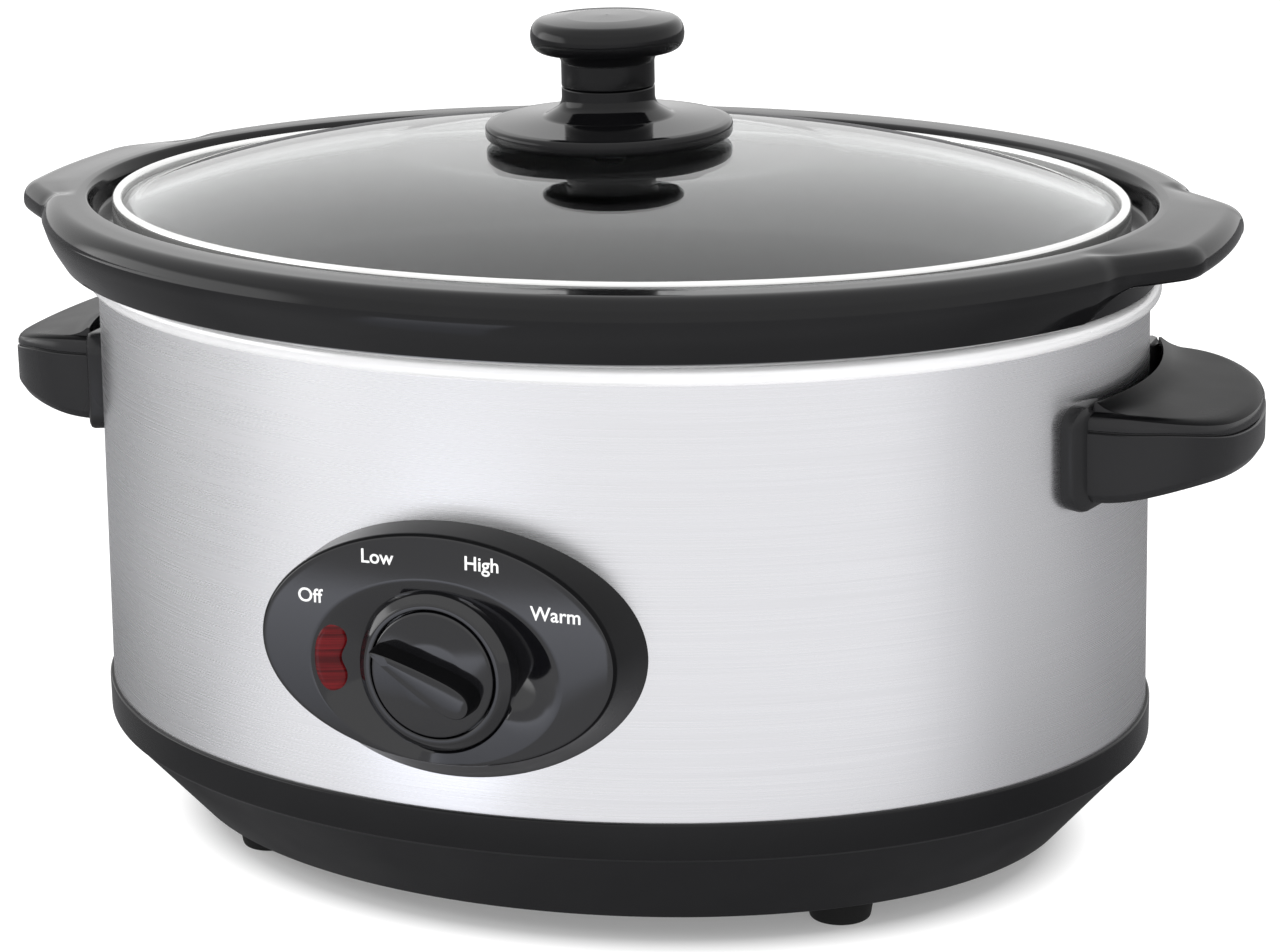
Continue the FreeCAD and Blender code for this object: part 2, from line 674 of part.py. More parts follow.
def cutoff_clip():
    low = PAN_FLOOR_Z - 5.0
    steps = [
        (-12, PAN_FLOOR_Z), (-12, PAN_FLOOR_Z - 0.8), (-4.3, PAN_FLOOR_Z - 0.8), (-4.3, low - 0.8),
        (4.3, low - 0.8), (4.3, PAN_FLOOR_Z - 0.8), (12, PAN_FLOOR_Z - 0.8), (12, PAN_FLOOR_Z),
        (3.5, PAN_FLOOR_Z), (3.5, low), (-3.5, low), (-3.5, PAN_FLOOR_Z),
    ]
    return prism(steps, lambda y, z: Vector(-41, y, z), Vector(6, 0, 0))


TERMINAL_X = 45.0
TERMINAL_Y = 45.0


def terminal_block():
    base = block((-18, 18), (-8, 8), (0, 9))
    towers = [block((x - 4.5, x + 4.5), (-8, 8), (9, 15)) for x in (-12, 0, 12)]
    holes = []
    for x in (-12, 0, 12):
        holes.append(rod_z(x, 0, 2.0, 8, 16))
        holes.append(rod_y(x, 5.5, 1.6, -9, 9))
    shape = fuse_all([base] + towers).cut(holes)
    shape.translate(Vector(TERMINAL_X, TERMINAL_Y, TRAY_FLOOR_Z))
    return shape


def lead(points, radius):
    """Insulated lead: straight runs joined by tangent arcs, as large as the runs allow."""
    edges = []
    start = points[0]
    for before, corner, after in zip(points, points[1:], points[2:]):
        to_before = (before - corner).normalize()
        to_after = (after - corner).normalize()
        reach = 0.45 * min((before - corner).Length, (after - corner).Length)
        half = to_before.getAngle(to_after) / 2
        bend_r = reach * math.tan(half)
        first = corner + to_before * reach
        last = corner + to_after * reach
        inward = (to_before + to_after).normalize()
        middle = corner + inward * (bend_r / math.sin(half) - bend_r)
        edges.append(Part.makeLine(start, first))
        edges.append(Part.Arc(first, middle, last).toShape())
        start = last
    edges.append(Part.makeLine(start, points[-1]))
    path = Part.Wire(edges)
    ring = Part.Wire([Part.Circle(points[0], points[1] - points[0], radius).toShape()])
    return path.makePipeShell([ring], True, False)


def switch_lead():
    """From the terminal block, round the tray, to the switch's lower side."""
    start = Vector(TERMINAL_X + 18, TERMINAL_Y, TRAY_FLOOR_Z + 11)
    return lead([
        start, start + Vector(42, 0, 0), Vector(112, 0, 24), Vector(80, -62, 26), Vector(30, -100, 34),
        Vector(8, -121, 48), Vector(8, -121, KNOB_Z - 14),
    ], 1.3)


def cutoff_lead():
    """From the terminal block's other end to the thermal cut-off under the pan."""
    start = Vector(TERMINAL_X - 18, TERMINAL_Y, TRAY_FLOOR_Z + 11)
    high = PAN_FLOOR_Z - 2.5
    return lead([
        start, start + Vector(-24, 0, 0), Vector(-14, 30, 36), Vector(-14, 0, high), Vector(-30, 0, high),
    ], 1.3)


def cord_gland():
    sleeve = rod_y(0, GLAND_Z, 6.4, 112, 135)
    flange = rod_y(0, GLAND_Z, 10.0, 118, 133).cut(SHELL_OUTER)
    rim_edge = edges_where(flange, lambda box: box.YMin > 132.9)
    flange = flange.makeFillet(1.6, rim_edge)
    return flange.fuse(sleeve).cut(rod_y(0, GLAND_Z, 4.2, 100, 140)).removeSplitter()


def gland_nut():
    nut = rod_y(0, GLAND_Z, 10.5, 121, 135).common(SHELL_INNER)
    return nut.cut(rod_y(0, GLAND_Z, 6.4, 100, 140))


def handle_plan():
    """Straight sides, corners of radius 30 and an end of radius 80, each tangent to the next."""
    half = HANDLE_HALF_WIDTH
    return [
        (130, -half), (161.54, -half), ((180.03, -35.62), (190.66, -19.2)),
        ((HANDLE_TIP_X, 0), (190.66, 19.2)), ((180.03, 35.62), (161.54, half)), (130, half),
    ]


def handle_prism(inset=0.0):
    wire = path_wire(handle_plan(), in_plan)
    if inset:
        wire = wire.makeOffset2D(-inset)
    solid = Part.Face(wire).extrude(Vector(0, 0, 80))
    solid.translate(Vector(0, 0, 90))
    return solid


def crowned(z, level_x, drop):
    """Side-view steps of a line that is level from the shell and then bends down to the tip."""
    return [(130, z), (level_x, z), (((level_x + 200) / 2, z - drop / 4), (200, z - drop))]


def run_across(steps, end_z):
    """Everything between a side-view line and a level, right across the handle."""
    return prism(steps + [(200, end_z), (130, end_z)], lambda x, z: Vector(x, -60, z), Vector(0, 120, 0))


def seam_line(lower=0.0):
    return crowned(HANDLE_SEAM_Z - lower, 172.0, 8.0)


def handle_body():
    seam_groove = 0.5
    under = run_across([
        (130, HANDLE_LOW_Z), (158, HANDLE_LOW_Z), ((166.0, 122.8), (172.5, 124.5)),
        ((179.0, 126.2), (187, HANDLE_TIP_LOW_Z)), (200, HANDLE_TIP_LOW_Z),
    ], 170)
    grip = handle_prism().common(under).common(run_across(seam_line(seam_groove), 80))
    lower = edges_where(grip, lambda box: box.ZMax < 130 and box.XLength > 0.5 and box.XMax > 140)
    grip = grip.makeChamfer(1.8, lower)
    tongue = handle_prism(0.8).common(run_across(seam_line(), 80))
    tongue = tongue.cut(run_across(seam_line(seam_groove + 1.0), 80))
    plate = block((100, 175), (-PLATE_HALF_WIDTH, PLATE_HALF_WIDTH), PLATE_Z)
    plate = plate.makeFillet(PLATE_CORNER, edges_where(plate, lambda box: box.XLength > 10))
    plate = plate.common(shell_form(PLATE_THICK))
    body = fuse_all([grip, tongue, plate]).cut(SHELL_OUTER)
    holes = [rod_x(0, z, SCREW_R, 150, 172) for z in HANDLE_SCREW_Z]
    return body.cut(holes).removeSplitter()


def handle_cover():
    top_line = crowned(HANDLE_TOP_Z, 158.0, 8.0)
    cover = handle_prism().common(run_across(top_line, 80)).cut(run_across(seam_line(), 80))

    def round_the_top(box):
        lowest = 141.0 if box.XMax > 185 else 144.0
        return box.XLength > 0.5 and box.XMax > 140 and box.ZMin > lowest

    cover = cover.makeFillet(1.6, edges_where(cover, round_the_top))
    return cover.cut(shell_form(PLATE_THICK))


def handle_screws():
    screws = []
    for z in HANDLE_SCREW_Z:
        seat = shell_half_x(z) - SHELL_WALL - 0.1
        shank = rod_x(0, z, SCREW_R, seat, 171.0)
        screw = shank.fuse(rod_x(0, z, 3.4, seat - 2.2, seat))
        screws.append(screw)
        screws.append(half_turn(screw))
    return Part.makeCompound(screws)


def all_parts():
    right_body = handle_body()
    right_cover = handle_cover()
    parts = {
        "outer_shell": outer_shell(), "heating_pan": heating_pan(), "base_tray": base_tray(),
        "crock": crock(),
        "lid_glass": lid_glass(), "lid_rim_band": lid_rim_band(),
        "lid_knob_flange": lid_knob_flange(), "lid_knob_grip": lid_knob_grip(),
        "lid_knob_gasket": lid_knob_gasket(), "lid_washer_gasket": lid_washer_gasket(),
        "lid_washer": lid_washer(), "lid_screw": lid_screw(),
        "foot_screws": foot_screws(),
        "centre_stud": centre_stud(), "centre_washer": centre_washer(), "centre_nut": centre_nut(),
        "control_bezel": control_bezel(), "bezel_screws": bezel_screws(),
        "indicator_lens": indicator_lens(), "indicator_lamp": indicator_lamp(),
        "selector_switch": selector_switch(), "switch_screws": switch_screws(),
        "switch_shaft": switch_shaft(), "control_knob": control_knob(),
        "heater_band": heater_band(), "heater_clamp": heater_clamp(),
        "thermal_cutoff": thermal_cutoff(), "cutoff_clip": cutoff_clip(),
        "terminal_block": terminal_block(), "switch_lead": switch_lead(), "cutoff_lead": cutoff_lead(),
        "cord_gland": cord_gland(), "gland_nut": gland_nut(),
        "right_handle_body": right_body, "left_handle_body": half_turn(right_body),
        "right_handle_cover": right_cover, "left_handle_cover": half_turn(right_cover),
        "handle_screws": handle_screws(),
    }
    for place, (x, y) in foot_places().items():
        parts[place + "_foot"] = foot(x, y)
    return parts


def main():
    os.makedirs("parts", exist_ok=True)
    for name, shape in all_parts().items():
        shape.exportStep("parts/" + name + ".step")
        box = shape.BoundBox
        print(name, "solids", len(shape.Solids), "valid", shape.isValid(), "volume", round(shape.Volume),
              "x", round(box.XMin, 1), round(box.XMax, 1), "y", round(box.YMin, 1), round(box.YMax, 1),
              "z", round(box.ZMin, 1), round(box.ZMax, 1))


main()
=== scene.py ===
# %% [markdown]
# # An oval slow cooker
# A slow cooker is three loose things stacked up: a heating base in a brushed steel shell, a heavy
# glazed crock that hangs in it by its rim, and a glass lid. The CAD frame fixes every size and joint.
# This lesson gives each visible piece its finished surface and material, in the same frame.

import json
import math

import bmesh
import bpy
import numpy as np
from mathutils import Matrix


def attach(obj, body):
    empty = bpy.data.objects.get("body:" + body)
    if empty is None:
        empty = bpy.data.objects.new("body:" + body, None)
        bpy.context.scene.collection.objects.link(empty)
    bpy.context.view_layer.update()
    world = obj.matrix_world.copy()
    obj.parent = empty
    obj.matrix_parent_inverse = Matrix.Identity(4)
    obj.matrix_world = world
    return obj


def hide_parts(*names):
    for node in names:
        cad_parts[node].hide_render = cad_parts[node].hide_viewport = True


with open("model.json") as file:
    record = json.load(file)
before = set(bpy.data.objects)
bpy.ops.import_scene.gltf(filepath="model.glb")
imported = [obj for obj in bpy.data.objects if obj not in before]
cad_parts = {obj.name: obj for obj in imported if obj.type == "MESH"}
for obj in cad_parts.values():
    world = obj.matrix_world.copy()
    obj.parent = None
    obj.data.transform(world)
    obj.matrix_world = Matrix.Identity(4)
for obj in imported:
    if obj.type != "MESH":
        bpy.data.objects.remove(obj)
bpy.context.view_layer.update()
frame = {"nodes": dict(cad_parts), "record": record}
nodes = frame["nodes"]
MM = 0.001
print("CAD nodes:", len(nodes))

# %% [markdown]
# ## From arrays to meshes
# Nearly every piece here is a grid of points: one direction runs along a section, the other carries
# that section round an oval, a circle or an outline. Such forms could be made with Blender's Spin and
# Screw tools, but those know only circles. A grid of numbers takes any oval, keeps every size exact,
# and turns into quads by index arithmetic. Points that coincide, as at a pole, are merged, and edges
# sharper than a given angle stay crisp under smooth shading.

# %% Grid to object
MERGE, SLIVER = 0.002 * MM, 0.0001 * MM


def add_object(name, data):
    """New object in the scene's collection."""
    made = bpy.data.objects.new(name, data)
    bpy.context.collection.objects.link(made)
    return made


def settle(name, mesh, body, material, stands_for=(), sharp=40):
    """Merges doubles, turns faces outwards, shades the mesh and lets it ride on its body."""
    work = bmesh.new()
    work.from_mesh(mesh)
    bmesh.ops.remove_doubles(work, verts=work.verts, dist=MERGE)
    bmesh.ops.dissolve_degenerate(work, edges=work.edges, dist=SLIVER)
    bmesh.ops.recalc_face_normals(work, faces=work.faces)
    work.to_mesh(mesh)
    work.free()
    mesh.shade_smooth()
    mesh.set_sharp_from_angle(angle=math.radians(sharp))
    piece = add_object(name, mesh)
    mesh.materials.append(material)
    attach(piece, body)
    if stands_for:
        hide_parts(*stands_for)
    print(name, len(mesh.polygons), "faces")
    return piece


def grid_piece(name, points, body, material, stands_for=(), wrap=(True, False), sharp=40):
    """Object from an (m, n, 3) array in millimetres: each quad joins a point to the next ones along
    both directions, and wrap says which directions close on themselves."""
    rows, columns = points.shape[:2]
    index = np.arange(rows * columns).reshape(rows, columns)
    if wrap[0]:
        index = np.vstack([index, index[:1]])
    if wrap[1]:
        index = np.hstack([index, index[:, :1]])
    corners = [index[:-1, :-1], index[1:, :-1], index[1:, 1:], index[:-1, 1:]]
    quads = np.stack(corners, -1).reshape(-1, 4)
    mesh = bpy.data.meshes.new(name)
    mesh.from_pydata((points.reshape(-1, 3) * MM).tolist(), [], quads.tolist())
    return settle(name, mesh, body, material, stands_for, sharp)


print("points nearer than", MERGE / MM, "mm are merged")

# %% [markdown]
# ## Rounded sections
# Pressed steel, moulded plastic and glazed clay all have rounded corners, and the light runs along
# them. A Bevel modifier could round the finished mesh, but with one width for all edges. Here a
# section is written as on a drawing, as a few corner points with a radius each, and every corner is
# replaced by an arc tangent to both of its sides.

# %% Sections and sweeps
STRAIGHT = 1.56  # half angle in radians past which a corner is left as it is
LONGEST_CUT = 0.49  # share of the shorter side that an arc may use up


def rounded(corners, steps=7):
    """Polyline through corners (p, q, radius) or (p, q, r, radius): each arc's centre lies on the
    corner's bisector, radius / sin(half angle) away, and the arc turns evenly between its ends."""
    corners = np.array(corners, float)
    spots, radii = corners[:, :-1], corners[:, -1]
    line = [spots[:1]]
    for before, spot, after, radius in zip(spots, spots[1:], spots[2:], radii[1:]):
        back, ahead = before - spot, after - spot
        reach = min(np.linalg.norm(back), np.linalg.norm(ahead))
        back, ahead = back / np.linalg.norm(back), ahead / np.linalg.norm(ahead)
        half = math.acos(np.clip(back @ ahead, -1, 1)) / 2
        if radius <= 0 or half > STRAIGHT:
            line.append(spot[None])
            continue
        cut = min(radius / math.tan(half), LONGEST_CUT * reach)
        radius = cut * math.tan(half)
        bisector = (back + ahead) / np.linalg.norm(back + ahead)
        centre = spot + bisector * radius / math.sin(half)
        first, last = spot + back * cut - centre, spot + ahead * cut - centre
        turn = math.pi - 2 * half
        share = np.linspace(0, 1, steps)[:, None]
        arc = np.sin((1 - share) * turn) * first + np.sin(share * turn) * last
        line.append(centre + arc / math.sin(turn))
    line.append(spots[-1:])
    return np.vstack(line)


def round_oval(section, count=240):
    """Section points (half_x, half_y, z) carried round: x = half_x cos t, y = half_y sin t."""
    turn = np.linspace(0, 2 * np.pi, count, endpoint=False)[:, None]
    half_x, half_y, height = section.T
    flat = np.ones_like(turn)
    return np.stack([np.cos(turn) * half_x, np.sin(turn) * half_y, flat * height], -1)


print("a rounded corner has", len(rounded([(0, 0, 0), (9, 0, 4), (9, 9, 0)])) - 2, "points")

# %% [markdown]
# ## Shader arithmetic
# A finish is mostly arithmetic on a few noise values: brushing is a noise stretched along the rub,
# glaze a very soft ripple. The nodes could be joined one by one, but that hides the sum in the wiring.
# A small class wraps a socket so that the arithmetic reads as plain expressions, and one method adds
# any other node.


# %% Socket class
class Wire:
    """An output socket with operators; each expression adds the Math nodes it needs."""

    def __init__(self, tree, socket):
        self.tree = tree
        self.socket = socket

    def node(self, kind, settings=None, sockets=None, out=0):
        """One of a new node's outputs; its settings come first, then the values or links it takes."""
        made = self.tree.nodes.new(kind)
        for key, value in (settings or {}).items():
            if key == "stops":
                ramp = made.color_ramp.elements
                while len(ramp) < len(value):
                    ramp.new(0.5)
                for element, (place, colour) in zip(ramp, value):
                    element.position = place
                    element.color = colour
            else:
                setattr(made, key, value)
        for key, value in (sockets or {}).items():
            if isinstance(value, Wire):
                self.tree.links.new(value.socket, made.inputs[key])
            else:
                made.inputs[key].default_value = value
        return Wire(self.tree, made.outputs[out])

    def maths(self, operation, first, second):
        return self.node("ShaderNodeMath", {"operation": operation}, {0: first, 1: second})

    def __add__(self, other):
        return self.maths("ADD", self, other)

    def __radd__(self, other):
        return self.maths("ADD", other, self)

    def __sub__(self, other):
        return self.maths("SUBTRACT", self, other)

    def __rsub__(self, other):
        return self.maths("SUBTRACT", other, self)

    def __mul__(self, other):
        return self.maths("MULTIPLY", self, other)

    def __rmul__(self, other):
        return self.maths("MULTIPLY", other, self)

    def span(self, low, high, start, end):
        """Maps low..high to start..end, held at the ends."""
        return self.node("ShaderNodeMapRange", None, {0: self, 1: low, 2: high, 3: start, 4: end})

    def axis(self, name):
        """X, Y or Z of these coordinates."""
        return self.node("ShaderNodeSeparateXYZ", None, {0: self}, out=name)

    def ray(self, kind):
        """1 for rays of this kind, and 0 for all others."""
        return self.node("ShaderNodeLightPath", out=kind)

    def noise(self, scale, stretch=(1, 1, 1), detail=3.0):
        """Noise on these coordinates after stretching them."""
        placed = self.node("ShaderNodeMapping", None, {0: self, 3: stretch})
        values = {"Vector": placed, "Scale": scale, "Detail": detail}
        return self.node("ShaderNodeTexNoise", None, values)

    def blend(self, first, second):
        """Colour between two others, by this value."""
        return self.node("ShaderNodeMix", {"data_type": "RGBA"}, {0: self, 6: first, 7: second}, out=2)

    def bump(self, strength, distance):
        """Normal that leans as if this value were a height."""
        values = {"Strength": strength, "Distance": distance, "Height": self}
        return self.node("ShaderNodeBump", None, values)


print("Wire adds nodes with", [name for name in vars(Wire) if not name.startswith("_")])


# %% Materials and sockets
def new_finish(name, roughness=0.4, metallic=0.0, **constants):
    """Material with a Principled shader; returns it with its shader and Object coordinates."""
    material = bpy.data.materials.new(name)
    material.use_nodes = True
    tree = material.node_tree
    shader = tree.nodes["Principled BSDF"]
    shader.inputs["Roughness"].default_value = roughness
    shader.inputs["Metallic"].default_value = metallic
    for key, value in constants.items():
        shader.inputs[key.replace("_", " ")].default_value = value
    coords = Wire(tree, tree.nodes.new("ShaderNodeTexCoord").outputs["Object"])
    return material, shader, coords


def feed(shader, **wires):
    """Links each wire to the shader's socket of that name, with _ for a space."""
    for key, wire in wires.items():
        wire.tree.links.new(wire.socket, shader.inputs[key.replace("_", " ")])


NOISE = (0.3, 0.7)
print("nearly all noise values lie in", NOISE)

# %% [markdown]
# ## Metals
# The shell is steel rubbed with a belt, the heating pan is plain sheet with a polished bead, and the
# lid's edge band is polished too. A picture of brushed steel could be wrapped round the shell, but it
# would show a seam and blur close up. Noise on Object coordinates does neither: here it is very fine
# in height and long in the plan, so its lines run round the shell as the rubbing does.


# %% Metal finishes
def brushed_steel():
    """Colour, roughness and a faint bump follow one noise, stretched into level lines."""
    material, shader, coords = new_finish("brushed_steel", 0.28, 1.0)
    lines = coords.noise(1.0, (14.0, 14.0, 2900.0), 3.0)
    tone = lines.span(*NOISE, 0.0, 1.0)
    feed(shader, Base_Color=tone.blend((0.865, 0.865, 0.88, 1), (0.915, 0.915, 0.93, 1)))
    feed(shader, Roughness=lines.span(*NOISE, 0.31, 0.25), Normal=lines.bump(0.02, 0.0002))
    return material


def polished_metal(name, colour, roughness, metallic=1.0):
    """Colour drifts by 7 percent and roughness by a fifth to a quarter, with a soft noise."""
    material, shader, coords = new_finish(name, roughness, metallic)
    cloud = coords.noise(60.0)
    dark = tuple(0.93 * part for part in colour) + (1,)
    feed(shader, Base_Color=cloud.blend(dark, colour + (1,)))
    feed(shader, Roughness=cloud.span(*NOISE, roughness * 0.8, roughness * 1.25))
    return material


steel = brushed_steel()
bead_metal = polished_metal("polished_bead", (0.97, 0.97, 0.98), 0.22, 0.2)
pan_metal = polished_metal("pan_metal", (0.74, 0.74, 0.75), 0.34, 0.9)
band_metal = polished_metal("polished_band", (0.9, 0.9, 0.89), 0.14, 0.7)
print("metal finishes:", len(bpy.data.materials))

# %% [markdown]
# ## Glaze, glass and mouldings
# The crock is glazed black, the lid is clear glass, and the plastic runs from a mirror-like control
# panel to a grained tray. One black would do for all of it, but then nothing but outlines would tell
# the pieces apart. So each has its own roughness, shine and grain, and a faint unevenness, because no
# moulding is optically perfect.


# %% Glaze and glass
def black_glaze():
    """A soft ripple tilts the surface, and fine pits change how sharp it mirrors."""
    material, shader, coords = new_finish("black_glaze", 0.1, 0.0, Specular_IOR_Level=0.25)
    ripple = coords.noise(28.0, detail=1.0)
    pits = coords.noise(420.0, detail=2.0)
    feed(shader, Base_Color=ripple.blend((0.004, 0.004, 0.0045, 1), (0.007, 0.007, 0.0075, 1)))
    feed(shader, Roughness=pits.span(0.35, 0.75, 0.07, 0.13), Normal=ripple.bump(0.03, 0.001))
    return material


def clear_glass():
    """Clear, with a long slow wave in its colour and surface."""
    constants = {"IOR": 1.52, "Transmission_Weight": 1.0}
    material, shader, coords = new_finish("clear_glass", 0.0, 0.0, **constants)
    wave = coords.noise(9.0, detail=1.0)
    feed(shader, Base_Color=wave.blend((0.88, 0.9, 0.9, 1), (0.92, 0.94, 0.94, 1)))
    feed(shader, Normal=wave.bump(0.03, 0.002))
    return material


def red_lens():
    """Dark and lighter red in thin level bars."""
    material, shader, coords = new_finish("red_lens", 0.12, 0.0, Specular_IOR_Level=0.2)
    bars = coords.noise(1.0, (20.0, 20.0, 900.0), 2.0)
    tone = bars.span(0.4, 0.65, 0, 1)
    feed(shader, Base_Color=tone.blend((0.05, 0.003, 0.004, 1), (0.13, 0.006, 0.008, 1)))
    feed(shader, Roughness=bars.span(*NOISE, 0.08, 0.2))
    return material


glaze = black_glaze()
glass = clear_glass()
lens_red = red_lens()
print("with glaze and glass:", len(bpy.data.materials))


# %% Mouldings
def moulding(name, dark, light, roughness, grain=900.0, bump=0.01, shine=0.25):
    """Plastic or rubber: colour and roughness drift with a soft noise, the grain is a fine bump."""
    material, shader, coords = new_finish(name, roughness[0], Specular_IOR_Level=shine)
    cloud = coords.noise(34.0, detail=2.0)
    fine = coords.noise(grain, detail=2.0)
    feed(shader, Base_Color=cloud.blend(dark + (1,), light + (1,)))
    feed(shader, Roughness=cloud.span(*NOISE, *roughness), Normal=fine.bump(bump, 0.0002))
    return material


gloss_black = moulding("gloss_black", (0.003, 0.003, 0.0035), (0.006, 0.006, 0.0065), (0.09, 0.14))
panel_black = moulding(
    "panel_black", (0.003, 0.003, 0.004), (0.005, 0.005, 0.006), (0.06, 0.1), shine=0.6)
handle_black = moulding(
    "handle_black", (0.013, 0.013, 0.014), (0.018, 0.018, 0.019), (0.2, 0.28), bump=0.02)
# A duller, darker copy of black that paints shade onto chosen faces: the bezel's outer wall, the grip's
# flanks and the tops of the handle covers, where it also gives their semi-gloss.
shade_black = moulding(
    "shade_black", (0.003, 0.003, 0.0035), (0.005, 0.005, 0.0055), (0.26, 0.34), bump=0.02, shine=0.05)
satin_black = moulding(
    "satin_black", (0.006, 0.006, 0.007), (0.009, 0.009, 0.01), (0.36, 0.44), 2200.0, 0.1, 0.09)
rubber = moulding("foot_rubber", (0.006, 0.006, 0.006), (0.01, 0.01, 0.01), (0.62, 0.75), 1500.0, 0.15)
print("with mouldings:", len(bpy.data.materials))

# %% [markdown]
# ## Steel shell and heating pan
# The shell is a sheet rolled into an oval sleeve that narrows a little upwards. The pan hangs in it
# and ends in a polished bead rolled over the sleeve's upper edge. A Solidify modifier could thicken
# single sheets, but the bead needs a section of its own, so both are closed sections carried round
# the oval, and lifting the crock shows a real well.

# %% Shell
SHELL_LOW = (160.0, 129.5, 45.5)
SHELL_TOP = (158.7, 121.8, 166.2)
SHEET = 0.8

shell_outside = np.linspace(SHELL_LOW, SHELL_TOP, 3)
shell_inside = shell_outside[::-1] - (SHEET, SHEET, 0)
shell_section = np.vstack([shell_outside, shell_inside])
grid_piece("steel_shell", round_oval(shell_section, 320), "base", steel, ["outer_shell"], (True, True))

# %% Heating pan
PAN_RATIO = 0.77
BEAD_AT, BEAD_HEIGHT, BEAD_RADIUS = 159.0, 169.1, 2.9
WELL_EDGE = 155.5  # half length within which the pan is plain sheet


def second_finish(piece, material, chosen):
    """Adds a finish for the faces where chosen(normals, centres in millimetres) is true."""
    faces = piece.data.polygons
    normals, centres = np.empty(3 * len(faces)), np.empty(3 * len(faces))
    faces.foreach_get("normal", normals)
    faces.foreach_get("center", centres)
    piece.data.materials.append(material)
    mask = chosen(normals.reshape(-1, 3), centres.reshape(-1, 3) / MM)
    faces.foreach_set("material_index", mask.astype(np.int32))


curl = np.radians(np.linspace(98, -92, 24))
bead_arc = np.column_stack([
    BEAD_AT + BEAD_RADIUS * np.cos(curl), BEAD_HEIGHT + BEAD_RADIUS * np.sin(curl),
])
pan_inside = rounded([
    (0.5, 56.5, 0), (132.0, 56.5, 10), (146.9, 160.0, 14), (151.6, 170.6, 6), (158.4, 171.9, 0),
])
pan_outside = rounded([
    (158.7, 166.2, 0), (157.0, 166.2, 0), (154.4, 169.4, 1), (150.3, 167.4, 3), (148.2, 160.0, 14),
    (133.2, 55.3, 11), (0.5, 55.3, 0),
])
pan_line = np.vstack([pan_inside, bead_arc, pan_outside])
pan_section = np.column_stack([pan_line[:, 0], PAN_RATIO * pan_line[:, 0], pan_line[:, 1]])
well = grid_piece("heating_well", round_oval(pan_section, 320), "base", bead_metal, ["heating_pan"])
second_finish(well, pan_metal, lambda out, at: np.hypot(at[:, 0], at[:, 1] / PAN_RATIO) < WELL_EDGE)

# %% [markdown]
# ## Crock
# The crock is thick glazed stoneware. Its rim hangs over the bead, its inner ledge carries the lid,
# and a lug at each end takes the fingers. Under each lug the rim's skirt is hollowed out. Lugs could
# be joined on by a Boolean, but that leaves a hard line where clay would flow. So the rim has two
# profiles with the same number of points, a plain one and one with lug and hollow, and every column
# of the grid blends them by how far it is from the end of the oval.


# %% Runs of a profile
def leg(first, last, count):
    """Straight run between two ends (half length, height), where a value may be one per column."""
    share = np.linspace(0, 1, count)
    return [np.add.outer(a, 0 * share) + np.multiply.outer(b - a, share) for a, b in zip(first, last)]


def bow(middle, radius, start, end, count):
    """Arc round a middle: radius times the cosine and sine of angles between two, in degrees."""
    angle = np.radians(np.linspace(start, end, count))
    return [np.add.outer(m, radius * wave) for m, wave in zip(middle, (np.cos(angle), np.sin(angle)))]


def chain(columns, *runs):
    """Runs joined end to end into one profile per column, (columns, points, 2)."""
    spread = [[np.broadcast_to(part, (columns, part.shape[-1])) for part in run] for run in runs]
    return np.stack([np.concatenate(half, -1) for half in zip(*spread)], -1)


def smooth_step(value, low, high):
    """Goes from 0 at low to 1 at high by 3 s squared less 2 s cubed, s being the share of the way."""
    share = np.clip((value - low) / (high - low), 0, 1)
    return share * share * (3 - 2 * share)


print("a bow of 13 points:", chain(1, bow((0.0, 0.0), 1.0, 0, 90, 13)).shape)

# %% Rim with lugs
RIM_RATIO = 0.797
RIM_REACH = 174.0
RIM_TOP = 193.3
SKIRT, LIP, CREST = (160.5, 172.3), (166.6, 174.2), (163.2, RIM_TOP)
NO_LUG = 172.5  # least reach of the lugged profile, just inside the plain rim
HOLLOW_FROM, HOLLOW_TO = 42.5, 53.5


def lug_reach(turn):
    """Half length of the oval through the lug's outline, from its distance along each column's ray."""
    side = [(120.0, 86.0, 0), (162.6, 47.8, 9), (181.6, 29.0, 13)]
    plan = rounded([(x, -y, radius) for x, y, radius in side] + side[::-1], 24)
    bearing = np.arctan2(RIM_RATIO * np.sin(turn), np.abs(np.cos(turn)))
    distance = np.interp(bearing, np.arctan2(plan[:, 1], plan[:, 0]), np.hypot(plan[:, 0], plan[:, 1]))
    return np.maximum(distance / np.hypot(np.cos(turn), RIM_RATIO * np.sin(turn)), NO_LUG)


def rim_outside(turn):
    """Half lengths and heights of the rim's outside: the plain profile plus a share of the way to the
    lugged one, which is 1 at the ends of the oval and runs out beside the lugs."""
    reach = lug_reach(turn)
    flank = rounded([
        (*LIP, 0), (168.1, 174.9, 0.9), (172.2, 181.4, 22), (RIM_REACH, 187.2, 0),
    ], 5)
    plain = chain(
        len(turn),
        leg(SKIRT, LIP, 16),
        flank.T,
        flank[-1:].T,
        bow((167.6, 187.0), 6.3, 4, 88, 13),
        leg((167.0, RIM_TOP), CREST, 4))
    lugged = chain(
        len(turn),
        leg(SKIRT, (160.5, 179.4), 5),
        bow((164.5, 179.4), 4.0, 180, 90, 7),
        leg((165.5, 183.4), (reach - 3.2, 183.4), 4),
        bow((reach - 2.8, 186.2), 2.8, -90, 0, len(flank)),
        leg((reach, 186.6), (reach, 186.6), 1),
        bow((reach - 5.4, 186.8), 5.4, 4, 88, 13),
        leg((reach - 6.2, 192.2), CREST, 4))
    across = np.abs(RIM_RATIO * RIM_REACH * np.sin(turn))
    hollow = (1 - smooth_step(across, HOLLOW_FROM, HOLLOW_TO))[:, None, None]
    return plain + hollow * (lugged - plain)


print("half length over the lugs:", round(lug_reach(np.zeros(1))[0], 1), "mm")


